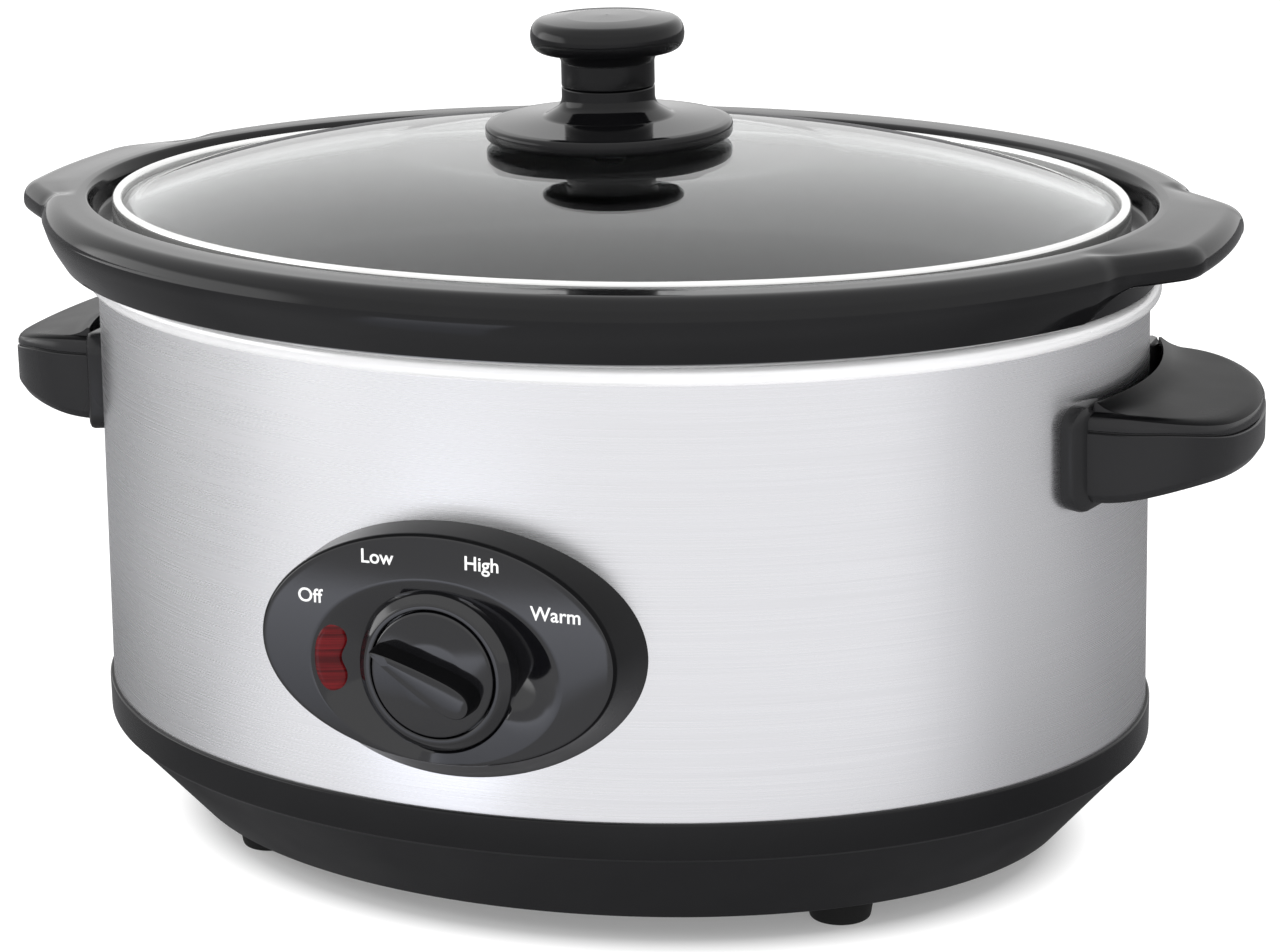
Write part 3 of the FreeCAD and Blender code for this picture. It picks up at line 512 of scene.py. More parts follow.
# %% Whole crock
def crock_points(count=840):
    """Columns round the oval: under side, rim outside and inner face, each point on its own oval."""
    turn = np.linspace(0, 2 * np.pi, count, endpoint=False)
    under = rounded([
        (0.5, 0.4, 58.3, 0), (128.8, 99.2, 58.3, 11), (143.6, 110.6, 158.0, 20), (149.5, 115.1, 172.3, 3),
        (160.4, 127.8, 172.3, 0),
    ], 8)
    mouth = rounded([
        (163.0, 129.2, RIM_TOP, 0), (160.5, 122.9, 193.2, 2.4), (159.4, 122.1, 189.8, 1),
        (158.6, 121.5, 184.9, 1.8), (147.2, 112.8, 184.9, 4), (143.6, 110.0, 180.9, 3),
        (135.8, 104.0, 160.0, 30), (123.5, 94.6, 80.0, 20), (120.6, 92.4, 66.3, 13), (0.5, 0.4, 66.3, 0),
    ], 8)
    half, height = np.moveaxis(rim_outside(turn), -1, 0)
    x, y = half * np.cos(turn)[:, None], RIM_RATIO * half * np.sin(turn)[:, None]
    rim = np.stack([x, y, height], -1)
    return np.concatenate([round_oval(under, count), rim, round_oval(mouth, count)], 1)


grid_piece("glazed_crock", crock_points(), "crock", glaze, ["crock"], sharp=60)

# %% [markdown]
# ## Lid
# The lid is a bent pane with an even thickness, edged by a rolled steel band. It could be cut from a
# ball, but sagged glass is flatter in the middle and steeper at the rim than a ball is. So the dome
# drops with the cube of the distance from the middle, and near the middle with its square.

# %% Glass
LID_RATIO = 0.772
PANE_TOP = (149.6, 190.2)
PANE_LOW = (146.6, 186.2)
PANE_RISE = 18.1
FLATTER_WITHIN = 0.45
PANE_HOLE = 4.2


def oval_section(corners, ratio=LID_RATIO):
    """Corners (half_x, z, radius) of an oval whose depth is a fixed share of its length."""
    return rounded([(a, a * ratio, z, radius) for a, z, radius in corners])


def dome(reach, edge_height, share):
    """Points of a dome at shares of the way out: it drops from its crown with the cube of the share,
    and where that is below FLATTER_WITHIN, with its square."""
    rise = PANE_RISE * (1 - np.maximum(share, FLATTER_WITHIN) * share**2)
    return np.stack([reach * share, reach * LID_RATIO * share, edge_height + rise], -1)


share = np.linspace(1, 0.004, 56)
share = share[share > PANE_HOLE / PANE_TOP[0]]
pane_edge = oval_section([(147.0, 186.2, 0), (151.6, 186.2, 0.6), (151.6, 190.2, 0.6), (149.9, 190.2, 0)])
pane = np.vstack([dome(*PANE_LOW, share)[::-1], pane_edge, dome(*PANE_TOP, share)])
grid_piece("glass_pane", round_oval(pane, 280), "lid", glass, ["lid_glass"], (True, True), 50)

# %% Band
band_section = oval_section([
    (147.5, 185.2, 0), (152.8, 185.2, 0.5), (152.8, 193.0, 1.59), (149.62, 193.0, 1.59),
    (149.62, 190.25, 0), (151.7, 190.25, 0), (151.7, 186.1, 0), (147.5, 186.1, 0),
])
band = round_oval(band_section, 280)
grid_piece("lid_band", band, "lid", band_metal, ["lid_rim_band"], (True, True), 60)

# %% [markdown]
# ## Lid knob
# Two mouldings meet at a fine seam half way up the stem: a broad flange that shields the fingers from
# the hot glass, and a cap to hold. Both are turned forms. Spin would make them too, but the sections
# and the sweep are already here, and a circle is an oval with equal halves.

# %% Flange and cap
flange_section = oval_section([
    (2.6, 209.2, 0), (12.0, 209.2, 0), (12.0, 209.4, 0), (34.0, 209.2, 1.6), (36.2, 209.4, 1.5),
    (36.2, 213.5, 1.6), (33.6, 213.9, 3), (19.0, 215.3, 6), (13.6, 218.6, 5), (13.6, 223.8, 0.4),
    (13.0, 224.0, 0), (2.6, 224.0, 0),
], 1.0)
flange = round_oval(flange_section, 120)
grid_piece("knob_flange", flange, "lid", gloss_black, ["lid_knob_flange"], (True, True))
cap_section = oval_section([
    (0.3, 233.0, 0), (2.6, 233.0, 0), (2.6, 224.0, 0), (13.0, 224.0, 0), (13.6, 224.3, 0.4),
    (13.6, 231.4, 2), (15.0, 234.3, 1.2), (22.4, 234.4, 4.4), (22.4, 243.2, 4.4), (12.0, 244.1, 12),
    (0.3, 244.35, 0),
], 1.0)
cap = round_oval(cap_section, 120)
grid_piece("knob_cap", cap, "lid", gloss_black, ["lid_knob_grip"], (True, False))

# %% [markdown]
# ## Base tray and feet
# The tray is a black heat-proof moulding: an upright band under the steel, a fine ridge, and a skirt
# that runs in to the floor. Four rubber feet stand under it. Both could be stacks of cones, but one
# section gives the ridge and the edges their own small radii. The band is glossier than the skirt, so
# its faces get a second finish.

# %% Tray
BAND_FOOT = 34.9
BAND_HALF = (160.4, 129.9)

tray_section = rounded([
    (156.4, 125.7, 50.0, 0), (158.6, 127.8, 50.0, 0.4), (158.6, 127.8, 45.5, 0),
    (161.2, 130.7, 45.5, 0.7), (161.2, 130.7, 35.2, 0.7), (160.0, 129.7, 34.3, 0.5),
    (137.6, 107.1, 8.6, 2.2), (135.0, 104.5, 8.0, 1.5), (9.6, 9.6, 8.0, 0), (9.6, 9.6, 15.0, 0),
    (3.3, 3.3, 15.0, 0), (3.3, 3.3, 23.9, 0), (14.0, 14.0, 23.9, 0.4), (14.0, 14.0, 11.0, 0),
    (136.5, 106.2, 11.0, 3), (156.4, 125.7, 34.4, 2),
])


def on_band(out, at):
    """Faces above the ridge and outside the oval that the sleeve stands on."""
    outside = np.hypot(at[:, 0] / BAND_HALF[0], at[:, 1] / BAND_HALF[1]) > 1.0
    return (at[:, 2] > BAND_FOOT) & outside


tray_points = round_oval(tray_section, 320)
tray = grid_piece("tray_moulding", tray_points, "base", satin_black, ["base_tray"], (True, True))
second_finish(tray, gloss_black, on_band)

# %% Feet
FOOT_X, FOOT_Y = 90.0, 62.0

foot_section = oval_section([
    (2.1, 4.0, 0), (4.4, 4.0, 0), (4.4, 0.0, 0.3), (8.6, 0.0, 0.9), (8.9, 1.0, 0.6), (10.0, 8.0, 0),
    (2.1, 8.0, 0),
], 1.0)
for end, x in (("left", -FOOT_X), ("right", FOOT_X)):
    for side, y in (("front", -FOOT_Y), ("rear", FOOT_Y)):
        place = side + "_" + end
        spots = round_oval(foot_section, 48) + np.array([x, y, 0])
        grid_piece("rubber_" + place, spots, "base", rubber, [place + "_foot"], (True, True))

# %% [markdown]
# ## Control bezel
# The bezel is an oval moulding with a dish round the dial and a raised collar. The dish, the face and
# the outline are ovals with different middles, which a loft between curves would twist. Seen from the
# dial's axis, every direction has the same list of bends, and only their distances change. So the
# bezel is a fan of sections: the distances come from where each ray meets those ovals.

# %% Ovals of the bezel
KNOB = (0.0, 88.4)
BEZEL = (0.0, 91.2)
FACE = (0.6, 94.5)
DISH_HALF, FACE_HALF, WALL_HALF, FOOT_HALF = (36.6, 25.9), (50.6, 31.6), (51.9, 32.7), (54.3, 35.9)
FACE_Y, FACE_BOW, FOREMOST_Z = -139.0, 0.0007, 91.0
DISH_SLOPE, DISH_EASE, EASE_ANGLE = 0.37, 0.3, -0.95
COLLAR_FOOT = 23.0


def ray_to_oval(angle, origin, centre, half):
    """Distance from origin to an ellipse along each angle: the positive root of the quadratic."""
    step = np.stack([np.cos(angle), np.sin(angle)], -1) / half
    start = (np.array(origin) - centre) / half
    square = (step**2).sum(-1)
    mixed = (step * start).sum(-1)
    return (-mixed + np.sqrt(mixed**2 - square * ((start**2).sum() - 1))) / square


def round_dial(angle, distance, depth):
    """Points at an angle and a distance from the dial's axis, and at a depth along it."""
    return np.stack([KNOB[0] + distance * np.cos(angle), depth, KNOB[1] + distance * np.sin(angle)], -1)


def face_at(z):
    """Depth of the face, which bows back with the square of the height above or below one level."""
    return FACE_Y + FACE_BOW * (z - FOREMOST_Z) ** 2


def dish_at(angle, distance):
    """Depth of the dish: a cone from its oval brim down to the collar, flatter at the lower right."""
    brim = ray_to_oval(angle, KNOB, KNOB, DISH_HALF)
    slope = DISH_SLOPE - DISH_EASE * smooth_step(np.cos(angle - EASE_ANGLE), 0.4, 0.95)
    return face_at(KNOB[1] + distance * np.sin(angle)) + slope * np.clip(brim - distance, 0, None)


print("depth of the dish:", np.round(dish_at(np.radians([0, 90, 180]), COLLAR_FOOT) - FACE_Y, 1), "mm")

# %% Bezel
EDGE_DROP = 1.6
SUNK = 0.3  # how far the foot goes into the shell
WALL_OUT, WALL_LEAN = 29.0, -0.85


def shell_half(height):
    """Half axes of the shell's outer face at a height, both straight lines between its edges."""
    share = (height - SHELL_LOW[2]) / (SHELL_TOP[2] - SHELL_LOW[2])
    return [low + share * (top - low) for low, top in zip(SHELL_LOW[:2], SHELL_TOP[:2])]


def bezel_points(count=360):
    """One column per direction from the dial's axis: collar, dish, face, a quarter round of the edge,
    and the foot on the shell, whose depth comes from the shell's oval at that height."""
    angle = np.linspace(0, 2 * np.pi, count, endpoint=False)
    brim = ray_to_oval(angle, KNOB, KNOB, DISH_HALF)
    face = ray_to_oval(angle, KNOB, FACE, FACE_HALF)
    wall = ray_to_oval(angle, KNOB, FACE, WALL_HALF)
    foot = ray_to_oval(angle, KNOB, BEZEL, FOOT_HALF)
    section = rounded([
        (6.0, -136.5, 0), (18.2, -136.5, 0), (18.2, -140.2, 0.5), (19.9, -140.2, 1.6),
        (22.3, -138.2, 2.4), (22.5, -137.4, 0),
    ])
    collar, collar_depth = np.repeat(section.T[..., None], count, -1)
    turn = np.linspace(0, np.pi / 2, 9)[:, None]
    slope = np.vstack([
        COLLAR_FOOT + np.linspace(0, 0.97, 10)[:, None] * (brim - COLLAR_FOOT),
        brim + np.array([[0.02], [0.06], [0.5], [0.92]]) * (face - brim),
        face + (wall - face) * np.sin(turn),
    ])
    slope_depth = dish_at(angle, slope)
    slope_depth[-len(turn):] += EDGE_DROP * (1 - np.cos(turn))
    half_x, half_y = shell_half(KNOB[1] + foot * np.sin(angle))
    foot_depth = SUNK - half_y * np.sqrt(1 - ((KNOB[0] + foot * np.cos(angle)) / half_x) ** 2)
    rows = round_dial(
        angle, np.vstack([collar, slope, foot, 0.9 * foot, collar[:1]]),
        np.vstack([collar_depth, slope_depth, foot_depth, foot_depth + 1.5, collar_depth[:1] + 5.0]))
    return np.swapaxes(rows, 0, 1)


def on_wall(out, at):
    """Faces further out than WALL_OUT that don't look to the front; they take painted shade."""
    return (out[:, 1] > WALL_LEAN) & (np.hypot(at[:, 0], at[:, 2] - KNOB[1]) > WALL_OUT)


fan = bezel_points()
bezel = grid_piece("bezel_moulding", fan, "base", panel_black, ["control_bezel"], (True, True), 50)
# Painted shade: the outer wall and its rounded edge take the duller, darker black.
second_finish(bezel, shade_black, on_wall)

# %% [markdown]
# ## Indicator lens
# The lens is a bean-shaped window in the dish, curved about the dial. It could be a bent tube end, but
# its outline has a notch. So that outline is written round the dial, as a thick arc with blunt ends
# and a small notch on the dial's side, and rings of it shrink towards their middle while the surface
# swells a little.

# %% Lens
LENS_AT, LENS_ANGLE = 31.0, 178.0
LENS_HALF = (9.5, 4.5)
LENS_BLUNT = 0.85
LENS_SWELL, LENS_DEEP = 0.9, 2.5
NOTCH_DEEP, NOTCH_WIDE = 2.1, 4.2


def lens_points(count=96, rings=12):
    """Superellipse of half axes LENS_HALF, laid along an arc round the dial, with a bell-shaped notch;
    the surface swells by the root of 1 less the fourth power of the share of the way out."""
    turn = np.linspace(0, 2 * np.pi, count, endpoint=False)
    swing, lean = np.cos(turn), np.sin(turn)
    along = np.sign(lean) * np.abs(lean) ** LENS_BLUNT * LENS_HALF[0]
    out = np.sign(swing) * np.abs(swing) ** LENS_BLUNT * LENS_HALF[1]
    notch = NOTCH_DEEP * np.exp(-((along / NOTCH_WIDE) ** 2)) * smooth_step(-swing, 0.0, 0.6)
    share = np.linspace(1, 0, rings)[:, None]
    distance = LENS_AT + share * (out + notch)
    angle = np.radians(LENS_ANGLE) - share * along / LENS_AT
    front = round_dial(angle, distance, dish_at(angle, distance) - LENS_SWELL * (1 - share**4) ** 0.5)
    back = front[[-1, 0]] + np.array([0, LENS_DEEP, 0])
    return np.swapaxes(np.concatenate([back, front]), 0, 1)


grid_piece("lens_window", lens_points(), "base", lens_red, ["indicator_lens"], (True, False), 50)

# %% [markdown]
# ## Dial
# The dial is a disc in the collar with a tall grip across it: thin and pointed where it shows the
# setting, wide and blunt at the other end. A scaled and bevelled block would come near, but its plan
# would be straight-sided. The grip is an outline carried up in layers that narrow with height and
# round over at the top.

# %% Disc
OFF_ANGLE = 153.0


def turn_to_off(points):
    """Turns front-view points (x, y, z) about the dial's axis so that +x points to Off."""
    angle = math.radians(OFF_ANGLE)
    x = points[..., 0] * math.cos(angle) - points[..., 2] * math.sin(angle)
    z = points[..., 0] * math.sin(angle) + points[..., 2] * math.cos(angle)
    return np.stack([x + KNOB[0], points[..., 1], z + KNOB[1]], -1)


def disc_points(count=120):
    """Section (radius, depth) carried round the dial's axis."""
    section = rounded([
        (0.1, -136.9, 0), (17.8, -136.9, 0.4), (17.8, -140.6, 0.8), (9.0, -141.3, 40), (0.1, -141.6, 0),
    ], 12)
    turn = np.linspace(0, 2 * np.pi, count, endpoint=False)[:, None]
    radius, depth = section.T
    return np.stack([np.cos(turn) * radius, np.ones_like(turn) * depth, np.sin(turn) * radius], -1)


grid_piece("dial_disc", turn_to_off(disc_points()), "control_knob", panel_black, ["control_knob"])

# %% Grip
GRIP_TIP, GRIP_BLUNT = 17.0, -15.4
GRIP_HALF = 6.2
GRIP_FOOT, GRIP_TALL = -140.9, 7.6
GRIP_LAYERS = (
    (0.0, 1.0, 1.0), (0.4, 0.95, 0.995), (0.8, 0.9, 0.985), (0.93, 0.87, 0.975), (0.985, 0.82, 0.965),
    (1.0, 0.74, 0.945), (1.0, 0.0, 0.8),
)


def grip_points(count=160):
    """Layers (height, width, length): half the width grows with a power of the share of the way from
    the tip to the blunt end, and closes there by the root of 1 less its ninth power."""
    turn = np.linspace(0, 2 * np.pi, count, endpoint=False)[:, None]
    height, width, reach = np.array(GRIP_LAYERS).T
    tip, blunt = GRIP_TIP * reach, GRIP_BLUNT * reach
    along = (tip + blunt) / 2 + (tip - blunt) / 2 * np.cos(turn)
    share = np.clip((tip - along) / (tip - blunt), 0, 1)
    half = GRIP_HALF * width * share**0.62 * (1 - share**9) ** 0.5
    depth = np.ones_like(turn) * (GRIP_FOOT - GRIP_TALL * height)
    return turn_to_off(np.stack([along, depth, np.sign(np.sin(turn)) * half], -1))


grip = grid_piece("dial_grip", grip_points(), "control_knob", panel_black, (), (True, False), 30)
# Painted shade: the grip's flanks, which don't face the front, take the duller, darker black.
second_finish(grip, shade_black, lambda out, at: out[:, 1] > -0.8)

# %% [markdown]
# ## Dial words
# The four settings are printed in white on the face. A picture of the words could be laid on it, but
# letters as geometry stay sharp at any distance. Text starts as a curve, is made a mesh, and only then
# is turned upright and leaned back with the face, so that its place is in its mesh.

# %% Words
WORDS = {"Off": (-36.0, 107.0), "Low": (-15.8, 119.6), "High": (14.7, 120.2), "Warm": (35.8, 108.2)}
WORD_SIZE, WORD_BOLDER, WORD_THICK, WORD_PROUD = 5.5, 0.07, 0.03, 0.06

ink, ink_shader, ink_coords = new_finish("white_ink", 0.5)
feed(ink_shader, Base_Color=ink_coords.noise(700.0).blend((0.8, 0.8, 0.8, 1), (0.9, 0.9, 0.9, 1)))
for word, (x, z) in WORDS.items():
    name = "word_" + word.lower()
    curve = bpy.data.curves.new(name, "FONT")
    curve.body = word
    curve.size = WORD_SIZE * MM
    curve.align_x = "CENTER"
    curve.align_y = "CENTER"
    curve.offset = WORD_BOLDER * MM
    curve.extrude = WORD_THICK * MM
    holder = add_object("holder", curve)
    bpy.context.view_layer.update()
    mesh = bpy.data.meshes.new_from_object(holder.evaluated_get(bpy.context.evaluated_depsgraph_get()))
    bpy.data.objects.remove(holder)
    mesh.name = name
    lean = Matrix.Rotation(math.pi / 2 - 2 * FACE_BOW * (z - FOREMOST_Z), 4, "X")
    mesh.transform(Matrix.Translation((x * MM, (face_at(z) - WORD_PROUD) * MM, z * MM)) @ lean)
    mesh.materials.clear()
    settle(name, mesh, "base", ink)

# %% [markdown]
# ## Side handles
# Each handle is a moulded ledge with a flange plate that hugs the shell, closed on top by a cover
# above a fine seam. Extruding the plan would give flat faces, and these are not flat: top and seam
# bend down towards the tip, and the under side sweeps up in an S. So cover and ledge are grids of rows
# that follow the plan, and a function of the place gives each row its height.

# %% Plan of a handle
HANDLE_HALF = 42.0
CORNER_RADIUS, CORNER_AT = 30.0, (161.54, -12.0)
END_RADIUS, END_AT = 80.0, (113.0, 0.0)
END_BEND = math.radians(13.89)
PLATE_LEVEL, PLATE_STAND, PLATE_OVERLAP = 135.0, 4.5, 0.8


def plate_face(y):
    """Where the plate's front face is at a place across the handle: the shell's oval, made larger."""
    half_x, half_y = shell_half(PLATE_LEVEL)
    return (half_x + PLATE_STAND) * np.sqrt(1 - (y / (half_y + PLATE_STAND)) ** 2)


def arc(middle, radius, angle):
    """Points at a radius from a middle, at each angle."""
    return np.array(middle) + radius * np.column_stack([np.cos(angle), np.sin(angle)])


def handle_outline(inset=0.0):
    """Plan of a ledge: straight sides, round corners and a rounder end, tangent to one another."""
    near = arc(CORNER_AT, CORNER_RADIUS - inset, np.linspace(-np.pi / 2, -END_BEND, 26))
    tip = arc(END_AT, END_RADIUS - inset, np.linspace(-END_BEND, END_BEND, 16)[1:-1])
    half = HANDLE_HALF - inset
    x = np.linspace(plate_face(half) - PLATE_OVERLAP, CORNER_AT[0], 5)[:-1]
    side = np.column_stack([x, np.full_like(x, -half)])
    flip = np.array([1.0, -1.0])
    return np.vstack([side, near, tip, near[::-1] * flip, side[::-1] * flip])


print("handle reaches", round(handle_outline()[:, 0].max(), 1), "mm from the middle")


# %% Heights of a handle
SEAM_Z, EDGE_Z, UNDER_Z = 142.6, 147.4, 122.0
SEAM_BENDS, EDGE_BENDS, BENT_DOWN, DROP = 172.0, 158.0, 200.0, 8.0
SWEEP_WIDE, SWEEP_RISE = 9.0, 2.6
UNDER_BENDS, UNDER_RISE = (156.0, 189.0), 5.0


def seam_at(x, y):
    """The seam: level, then down with the square of the way from its bend to BENT_DOWN."""
    return SEAM_Z - DROP * np.clip((x - SEAM_BENDS) / (BENT_DOWN - SEAM_BENDS), 0, None) ** 2


def edge_at(x, y):
    """The cover's edge: like the seam, but it starts to bend nearer to the shell."""
    return EDGE_Z - DROP * np.clip((x - EDGE_BENDS) / (BENT_DOWN - EDGE_BENDS), 0, None) ** 2


def top_at(x, y):
    """The cover's top: its edge's height, and a hollow sweep up, with a cube, to meet the plate."""
    near_plate = np.clip(1 - (x - plate_face(y)) / SWEEP_WIDE, 0, 1)
    return edge_at(x, y) + SWEEP_RISE * near_plate**3


def under_at(x, y):
    """The under side: a smooth step up towards the tip."""
    return UNDER_Z + UNDER_RISE * smooth_step(x, *UNDER_BENDS)


tip_x = END_AT[0] + END_RADIUS
tip_heights = [round(at(tip_x, 0.0), 1) for at in (seam_at, top_at, under_at)]
print("tip of seam, cover and under side:", tip_heights, "mm")


# %% Cover and ledge
def handle_rows(rows):
    """Grid from rows of (inset, share of the way out from the plate, surface, rise above it)."""
    layers = []
    for inset, out, surface, rise in rows:
        plan = handle_outline(inset)
        root = plate_face(plan[:, 1]) - PLATE_OVERLAP
        x = root + out * (plan[:, 0] - root)
        layers.append(np.column_stack([x, plan[:, 1], surface(x, plan[:, 1]) + rise]))
    return np.stack(layers, 1)


cover_rows = [(3.2, out, top_at, 0) for out in (0, 0.06, 0.12, 0.18, 0.25, 0.33, 0.45, 0.6, 0.75, 0.9)]
cover_rows += [
    (3.2, 1, edge_at, 0), (2.0, 1, edge_at, -0.25), (1.0, 1, edge_at, -0.85), (0.45, 1, edge_at, -1.9),
    (0.4, 1, seam_at, 0.25), (0.7, 1, seam_at, 0.02), (0.9, 0.5, seam_at, 0.02), (0.9, 0, seam_at, 0.02),
]
ledge_rows = [
    (1.0, 0, seam_at, -0.02), (1.0, 0.5, seam_at, -0.02), (1.0, 1, seam_at, -0.02),
    (1.0, 1, seam_at, -0.5), (0.3, 1, seam_at, -0.5), (0.05, 1, seam_at, -0.75),
    (0, 1, under_at, 2.7), (0.1, 1, under_at, 2.4), (1.5, 1, under_at, 0.25), (1.9, 1, under_at, 0),
]
ledge_rows += [(1.9, out, under_at, 0) for out in (0.85, 0.7, 0.55, 0.4, 0.2, 0)]
print("rows of a cover and a ledge:", len(cover_rows), len(ledge_rows))

# %% Plate and both handles
PLATE_HALF, PLATE_LOW, PLATE_HIGH, PLATE_CORNER = 46.0, 119.5, 149.5, 6.0
PLATE_RINGS = (
    (0, 0.02, -0.6), (0, 1, -0.6), (0, 1, 3.0), (0.4, 1, 4.0), (1.4, 1, PLATE_STAND),
    (1.4, 0.6, PLATE_STAND), (1.4, 0.02, PLATE_STAND),
)


def plate_points():
    """Rounded rectangle wrapped on the shell: rings (inset, shrink, stand) of it stand off along the
    oval's normal, which is x / half_x squared and y / half_y squared, made one long."""
    middle = np.array([0.0, (PLATE_LOW + PLATE_HIGH) / 2])
    layers = []
    for inset, shrink, stand in PLATE_RINGS:
        side, low, high = PLATE_HALF - inset, PLATE_LOW + inset, PLATE_HIGH - inset
        corner = PLATE_CORNER - inset
        ring = rounded([
            (0, low, 0), (side, low, corner), (side, high, corner), (-side, high, corner),
            (-side, low, corner), (0, low, 0),
        ], 9)[:-1]
        y, z = (middle + shrink * (ring - middle)).T
        half_x, half_y = shell_half(z)
        x = half_x * np.sqrt(1 - (y / half_y) ** 2)
        normal = np.array([x / half_x**2, y / half_y**2])
        normal /= np.linalg.norm(normal, axis=0)
        layers.append(np.column_stack([x + stand * normal[0], y + stand * normal[1], z]))
    return np.stack(layers, 1)


for side, turn in (("right", 1.0), ("left", -1.0)):
    flip = np.array([turn, turn, 1.0])
    closed = (False, True)
    ledge, top = handle_rows(ledge_rows) * flip, handle_rows(cover_rows) * flip
    grid_piece(side + "_ledge", ledge, "base", handle_black, [side + "_handle_body"], closed, 30)
    cover = grid_piece(side + "_ledge_cover", top, "base", shade_black, [side + "_handle_cover"], closed)
    # Painted light and shade: the cover's faces that don't look up take the lighter, shinier handle
    # black, and its top keeps the darker, duller one.
    second_finish(cover, handle_black, lambda out, at: out[:, 2] < 0.5)
    grid_piece(side + "_plate", plate_points() * flip, "base", handle_black)

# %% [markdown]
# ## Finishes for the pieces kept from CAD
# Screws, switch, heater, leads and gland keep their CAD shapes, which are right as they are. Most of
# them are inside, and the gland shows at the back. Each gets the finish of its material slot, because
# a cooker that is opened up should not be grey inside.

# %% Inner pieces
switch_plastic = moulding("switch_plastic", (0.5, 0.47, 0.42), (0.6, 0.57, 0.51), (0.45, 0.6), bump=0.05)
heater_sheath = moulding("heater_sheath", (0.32, 0.31, 0.29), (0.42, 0.41, 0.39), (0.4, 0.55), 300.0, 0.1)
lead_sleeve = moulding("lead_sleeve", (0.6, 0.57, 0.52), (0.7, 0.67, 0.62), (0.6, 0.75), 1800.0, 0.1)
gasket = moulding("gasket", (0.03, 0.03, 0.03), (0.05, 0.05, 0.05), (0.6, 0.75), bump=0.05)
slot_finish = {
    "fastener_steel": polished_metal("zinc_plate", (0.62, 0.62, 0.63), 0.32),
    "shaft_metal": polished_metal("plated_brass", (0.72, 0.6, 0.34), 0.25),
    "lamp_glass": polished_metal("lamp_glass", (0.75, 0.4, 0.22), 0.2),
    "switch_plastic": switch_plastic, "terminal_plastic": switch_plastic, "heater_mica": heater_sheath,
    "lead_sleeve": lead_sleeve, "gasket_silicone": gasket, "gland_plastic": satin_black,
    "brushed_steel": steel, "pan_metal": bead_metal, "crock_glaze": glaze, "lid_glass": glass,
    "band_steel": band_metal, "black_gloss": gloss_black, "tray_plastic": satin_black,
    "foot_rubber": rubber, "lens_red": lens_red,
}
for part in frame["record"]["subparts"]:
    mesh = nodes[part["node"]].data
    mesh.materials.clear()
    mesh.materials.append(slot_finish[part["material_slot"]])
print("finished CAD nodes:", len(nodes))

# %% [markdown]
# ## Studio floor
# The cooker stands on a white floor in a white room. Black gloss and steel show what is round them, so
# a plain white floor would turn both grey. What they reflect is therefore set apart from what the
# camera sees, by asking which kind of ray hits the floor: a reflected ray finds it glowing, bright in
# front and darker to the sides and behind. A brighter patch of that glow before the control panel is
# painted light that shows only in reflections, and the glow dims close round the cooker, a painted
# shadow in the reflections. To the camera it is nearly white, and it keeps a soft shadow.

# %% Floor as it is mirrored
FLOOR_TONES = (
    (0.08, 0.26, 0.265), (0.35, 0.36, 0.37), (0.5, 0.49, 0.5), (0.59, 0.54, 0.55), (0.66, 0.57, 0.585),
    (0.75, 0.76, 0.78), (0.82, 0.87, 0.89),
)
GLOW_PATCH_COLOUR = (1.5, 1.54, 1.7, 1)

floor_finish, floor_shader, floor_at = new_finish("pale_floor", 0.7, 0.0, Specular_IOR_Level=0.1)
feed(floor_shader, Base_Color=floor_at.noise(3.0).blend((0.93, 0.93, 0.93, 1), (0.95, 0.95, 0.95, 1)))
heading = floor_at.node("ShaderNodeVectorMath", {"operation": "NORMALIZE"}, {0: floor_at})
frontward = heading.axis("Y") * -0.495 + heading.axis("X") * 0.07 + 0.5
stops = [(place, (grey, grey, blue, 1)) for place, grey, blue in FLOOR_TONES]
floor_tone = frontward.node("ShaderNodeValToRGB", {"stops": stops}, {0: frontward})
floor_x, floor_y = floor_at.axis("X"), floor_at.axis("Y")
# Painted light: a bright patch in the mirrored floor before the control panel, seen only in reflections
# and brighter towards the front.
glow_patch = (floor_x - 0.4 * floor_y).span(-0.08, -0.04, 0, 1) * floor_x.span(-0.055, -0.045, 1, 0)
glow_patch = glow_patch * floor_y.span(-0.57, -0.51, 0, 1) * floor_y.span(-0.315, -0.285, 1, 0)
floor_tone = glow_patch.blend(floor_tone, GLOW_PATCH_COLOUR)
glow_patch_level = 1.0 + glow_patch * floor_y.span(-0.5, -0.31, 0.4, -0.25)
print("floor tones:", len(stops))

# %% Floor as it is seen
FLOOR_HALF, FLOOR_Z = 8, -0.0002
CAMERA_GLOW = 1.45


def oval_share(half_x, half_y):
    """Distance from the middle of the floor, as a share of the way to an oval's edge."""
    square = floor_x * floor_x * half_x**-2 + floor_y * floor_y * half_y**-2
    return square.maths("POWER", square, 0.5)


# Painted shadow: the mirrored glow dims to 0.4 of its level close round the cooker.
mirror_level_with_painted_shade = glow_patch_level * oval_share(0.17, 0.1).span(1.0, 2.7, 0.4, 1.0)
shadow_mix = floor_at.ray("Is Camera Ray") * oval_share(0.136, 0.106).span(0.96, 1.08, 0.15, 0.72)
mirror_glow = glow_patch.node("ShaderNodeEmission", None, {"Color": floor_tone, "Strength": mirror_level_with_painted_shade})
camera_glow = glow_patch.node("ShaderNodeEmission", None, {"Color": (1, 1, 1, 1), "Strength": CAMERA_GLOW})
plain_floor = Wire(floor_at.tree, floor_shader.outputs[0])
to_camera = glow_patch.node("ShaderNodeMixShader", None, {0: shadow_mix, 1: plain_floor, 2: camera_glow})
mirrored = floor_at.ray("Is Glossy Ray")
to_mirror = glow_patch.node("ShaderNodeMixShader", None, {0: mirrored, 1: to_camera, 2: mirror_glow})
floor_at.tree.links.new(to_mirror.socket, floor_at.tree.nodes["Material Output"].inputs["Surface"])
floor_mesh = bpy.data.meshes.new("floor")
floor_signs = ((-1, -1), (1, -1), (1, 1), (-1, 1))
floor_corners = [(x * FLOOR_HALF, y * FLOOR_HALF, FLOOR_Z) for x, y in floor_signs]
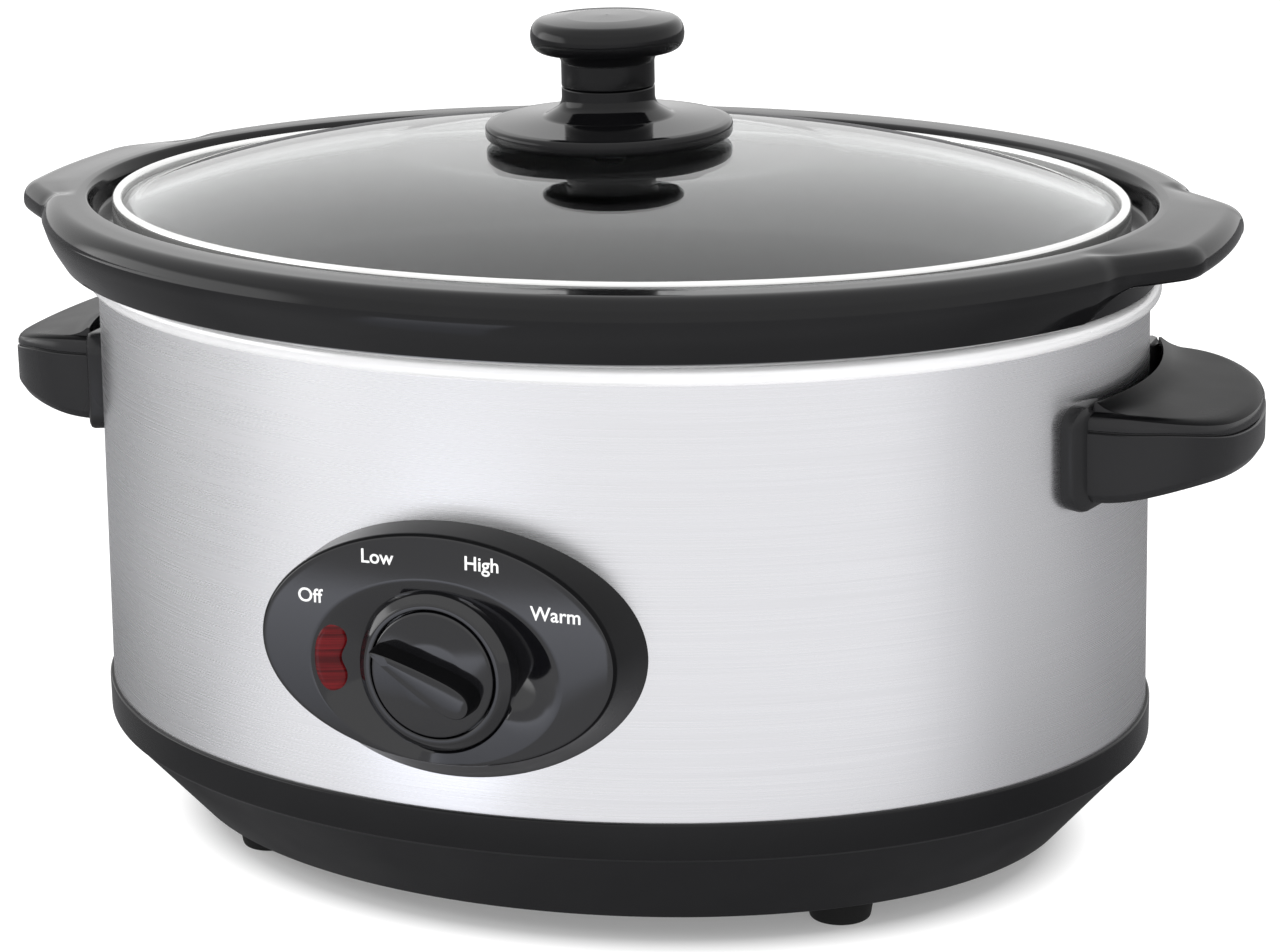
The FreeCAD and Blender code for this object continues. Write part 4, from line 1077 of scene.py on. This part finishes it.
floor_mesh.from_pydata(floor_corners, [], [(0, 1, 2, 3)])
floor_mesh.materials.append(floor_finish)
floor = add_object("floor", floor_mesh)
print("floor:", 2 * FLOOR_HALF, "m across")

# %% [markdown]
# ## Room and lamps
# A photographer's tent would light such a piece, with lamps outside its cloth. The world stands for
# the tent: white, a little brighter overhead, with a window at the left that draws a light edge on the
# mouldings. Three large soft lamps add the light that makes forms round. They are hidden from
# reflections, where they would show as hard rectangles.

# %% Room
TO_WINDOW, WINDOW_GLOW = (-0.966, -0.26), 1.7
ROOM_LIGHT = 0.78

world = bpy.data.worlds.new("studio")
bpy.context.scene.world = world
world.use_nodes = True
tree = world.node_tree
sky = tree.nodes["Background"]
sky.inputs["Color"].default_value = (1, 1, 1, 1)
direction = Wire(tree, tree.nodes.new("ShaderNodeTexCoord").outputs["Generated"])
up = direction.axis("Z")
to_window = direction.axis("X") * TO_WINDOW[0] + direction.axis("Y") * TO_WINDOW[1]
window = to_window.span(0.84, 0.91, 0.0, WINDOW_GLOW) * up.span(0.32, 0.42, 1.0, 0.0)
room = up.span(0.5, 0.64, 1.12, 1.25) + window
seen = up.maths("MAXIMUM", up.ray("Is Camera Ray"), up.ray("Is Transmission Ray"))
glossy = up.ray("Is Glossy Ray")
level = seen + (1.0 - seen) * (glossy * room + (1.0 - glossy) * ROOM_LIGHT)
tree.links.new(level.socket, sky.inputs["Strength"])
print("world:", world.name)


# %% Lamps
def placed(place, right, up, back):
    """Matrix of an object at a place whose x, y and z look right, up and back."""
    return Matrix.Translation(place) @ Matrix(np.column_stack([right, up, back]).tolist()).to_4x4()


def soft_lamp(name, place, target, size, power):
    """Area lamp facing its target: back is the unit vector from it, and right lies level."""
    lamp = bpy.data.lights.new(name, "AREA")
    lamp.shape = "RECTANGLE"
    lamp.size, lamp.size_y = size
    lamp.energy = power
    holder = add_object(name, lamp)
    back = np.array(place) - np.array(target)
    back = back / np.linalg.norm(back)
    right = np.cross((0, 0, 1), back)
    right = right / np.linalg.norm(right)
    holder.matrix_world = placed(place, right, np.cross(back, right), back)
    holder.visible_glossy = False
    holder.visible_transmission = False
    print(name, "lamp,", power, "W")


soft_lamp("key", (-0.9, -1.4, 1.7), (0, 0, 0.1), (1.2, 1.2), 18)
soft_lamp("top", (0.3, 0.5, 1.9), (0, 0, 0.1), (1.6, 1.0), 12)
soft_lamp("low", (0.9, -1.7, 0.3), (0, 0, 0.16), (1.6, 0.4), 11)

# %% [markdown]
# ## Camera
# The camera could be moved by hand until the picture looks right. Here its place, turn and focal
# length come from fitting the edges of the ovals, and its shift puts the cooker where the picture has
# it.

# %% Camera
CAMERA_AT = (0.38598, -1.00090, 0.41272)
CAMERA_RIGHT = (0.92568, 0.37737, -0.02647)
CAMERA_UP = (-0.09235, 0.29327, 0.95156)
CAMERA_BACK = (0.36685, -0.87840, 0.30633)

lens = bpy.data.cameras.new("camera")
lens.sensor_width = 36.0
lens.lens = 104.28
lens.shift_x = 0.0931
lens.shift_y = 0.0960
lens.clip_end = 50
camera = add_object("camera", lens)
camera.matrix_world = placed(CAMERA_AT, CAMERA_RIGHT, CAMERA_UP, CAMERA_BACK)
bpy.context.scene.camera = camera
bpy.context.scene.view_settings.view_transform = "Standard"
print("camera:", lens.lens, "mm")
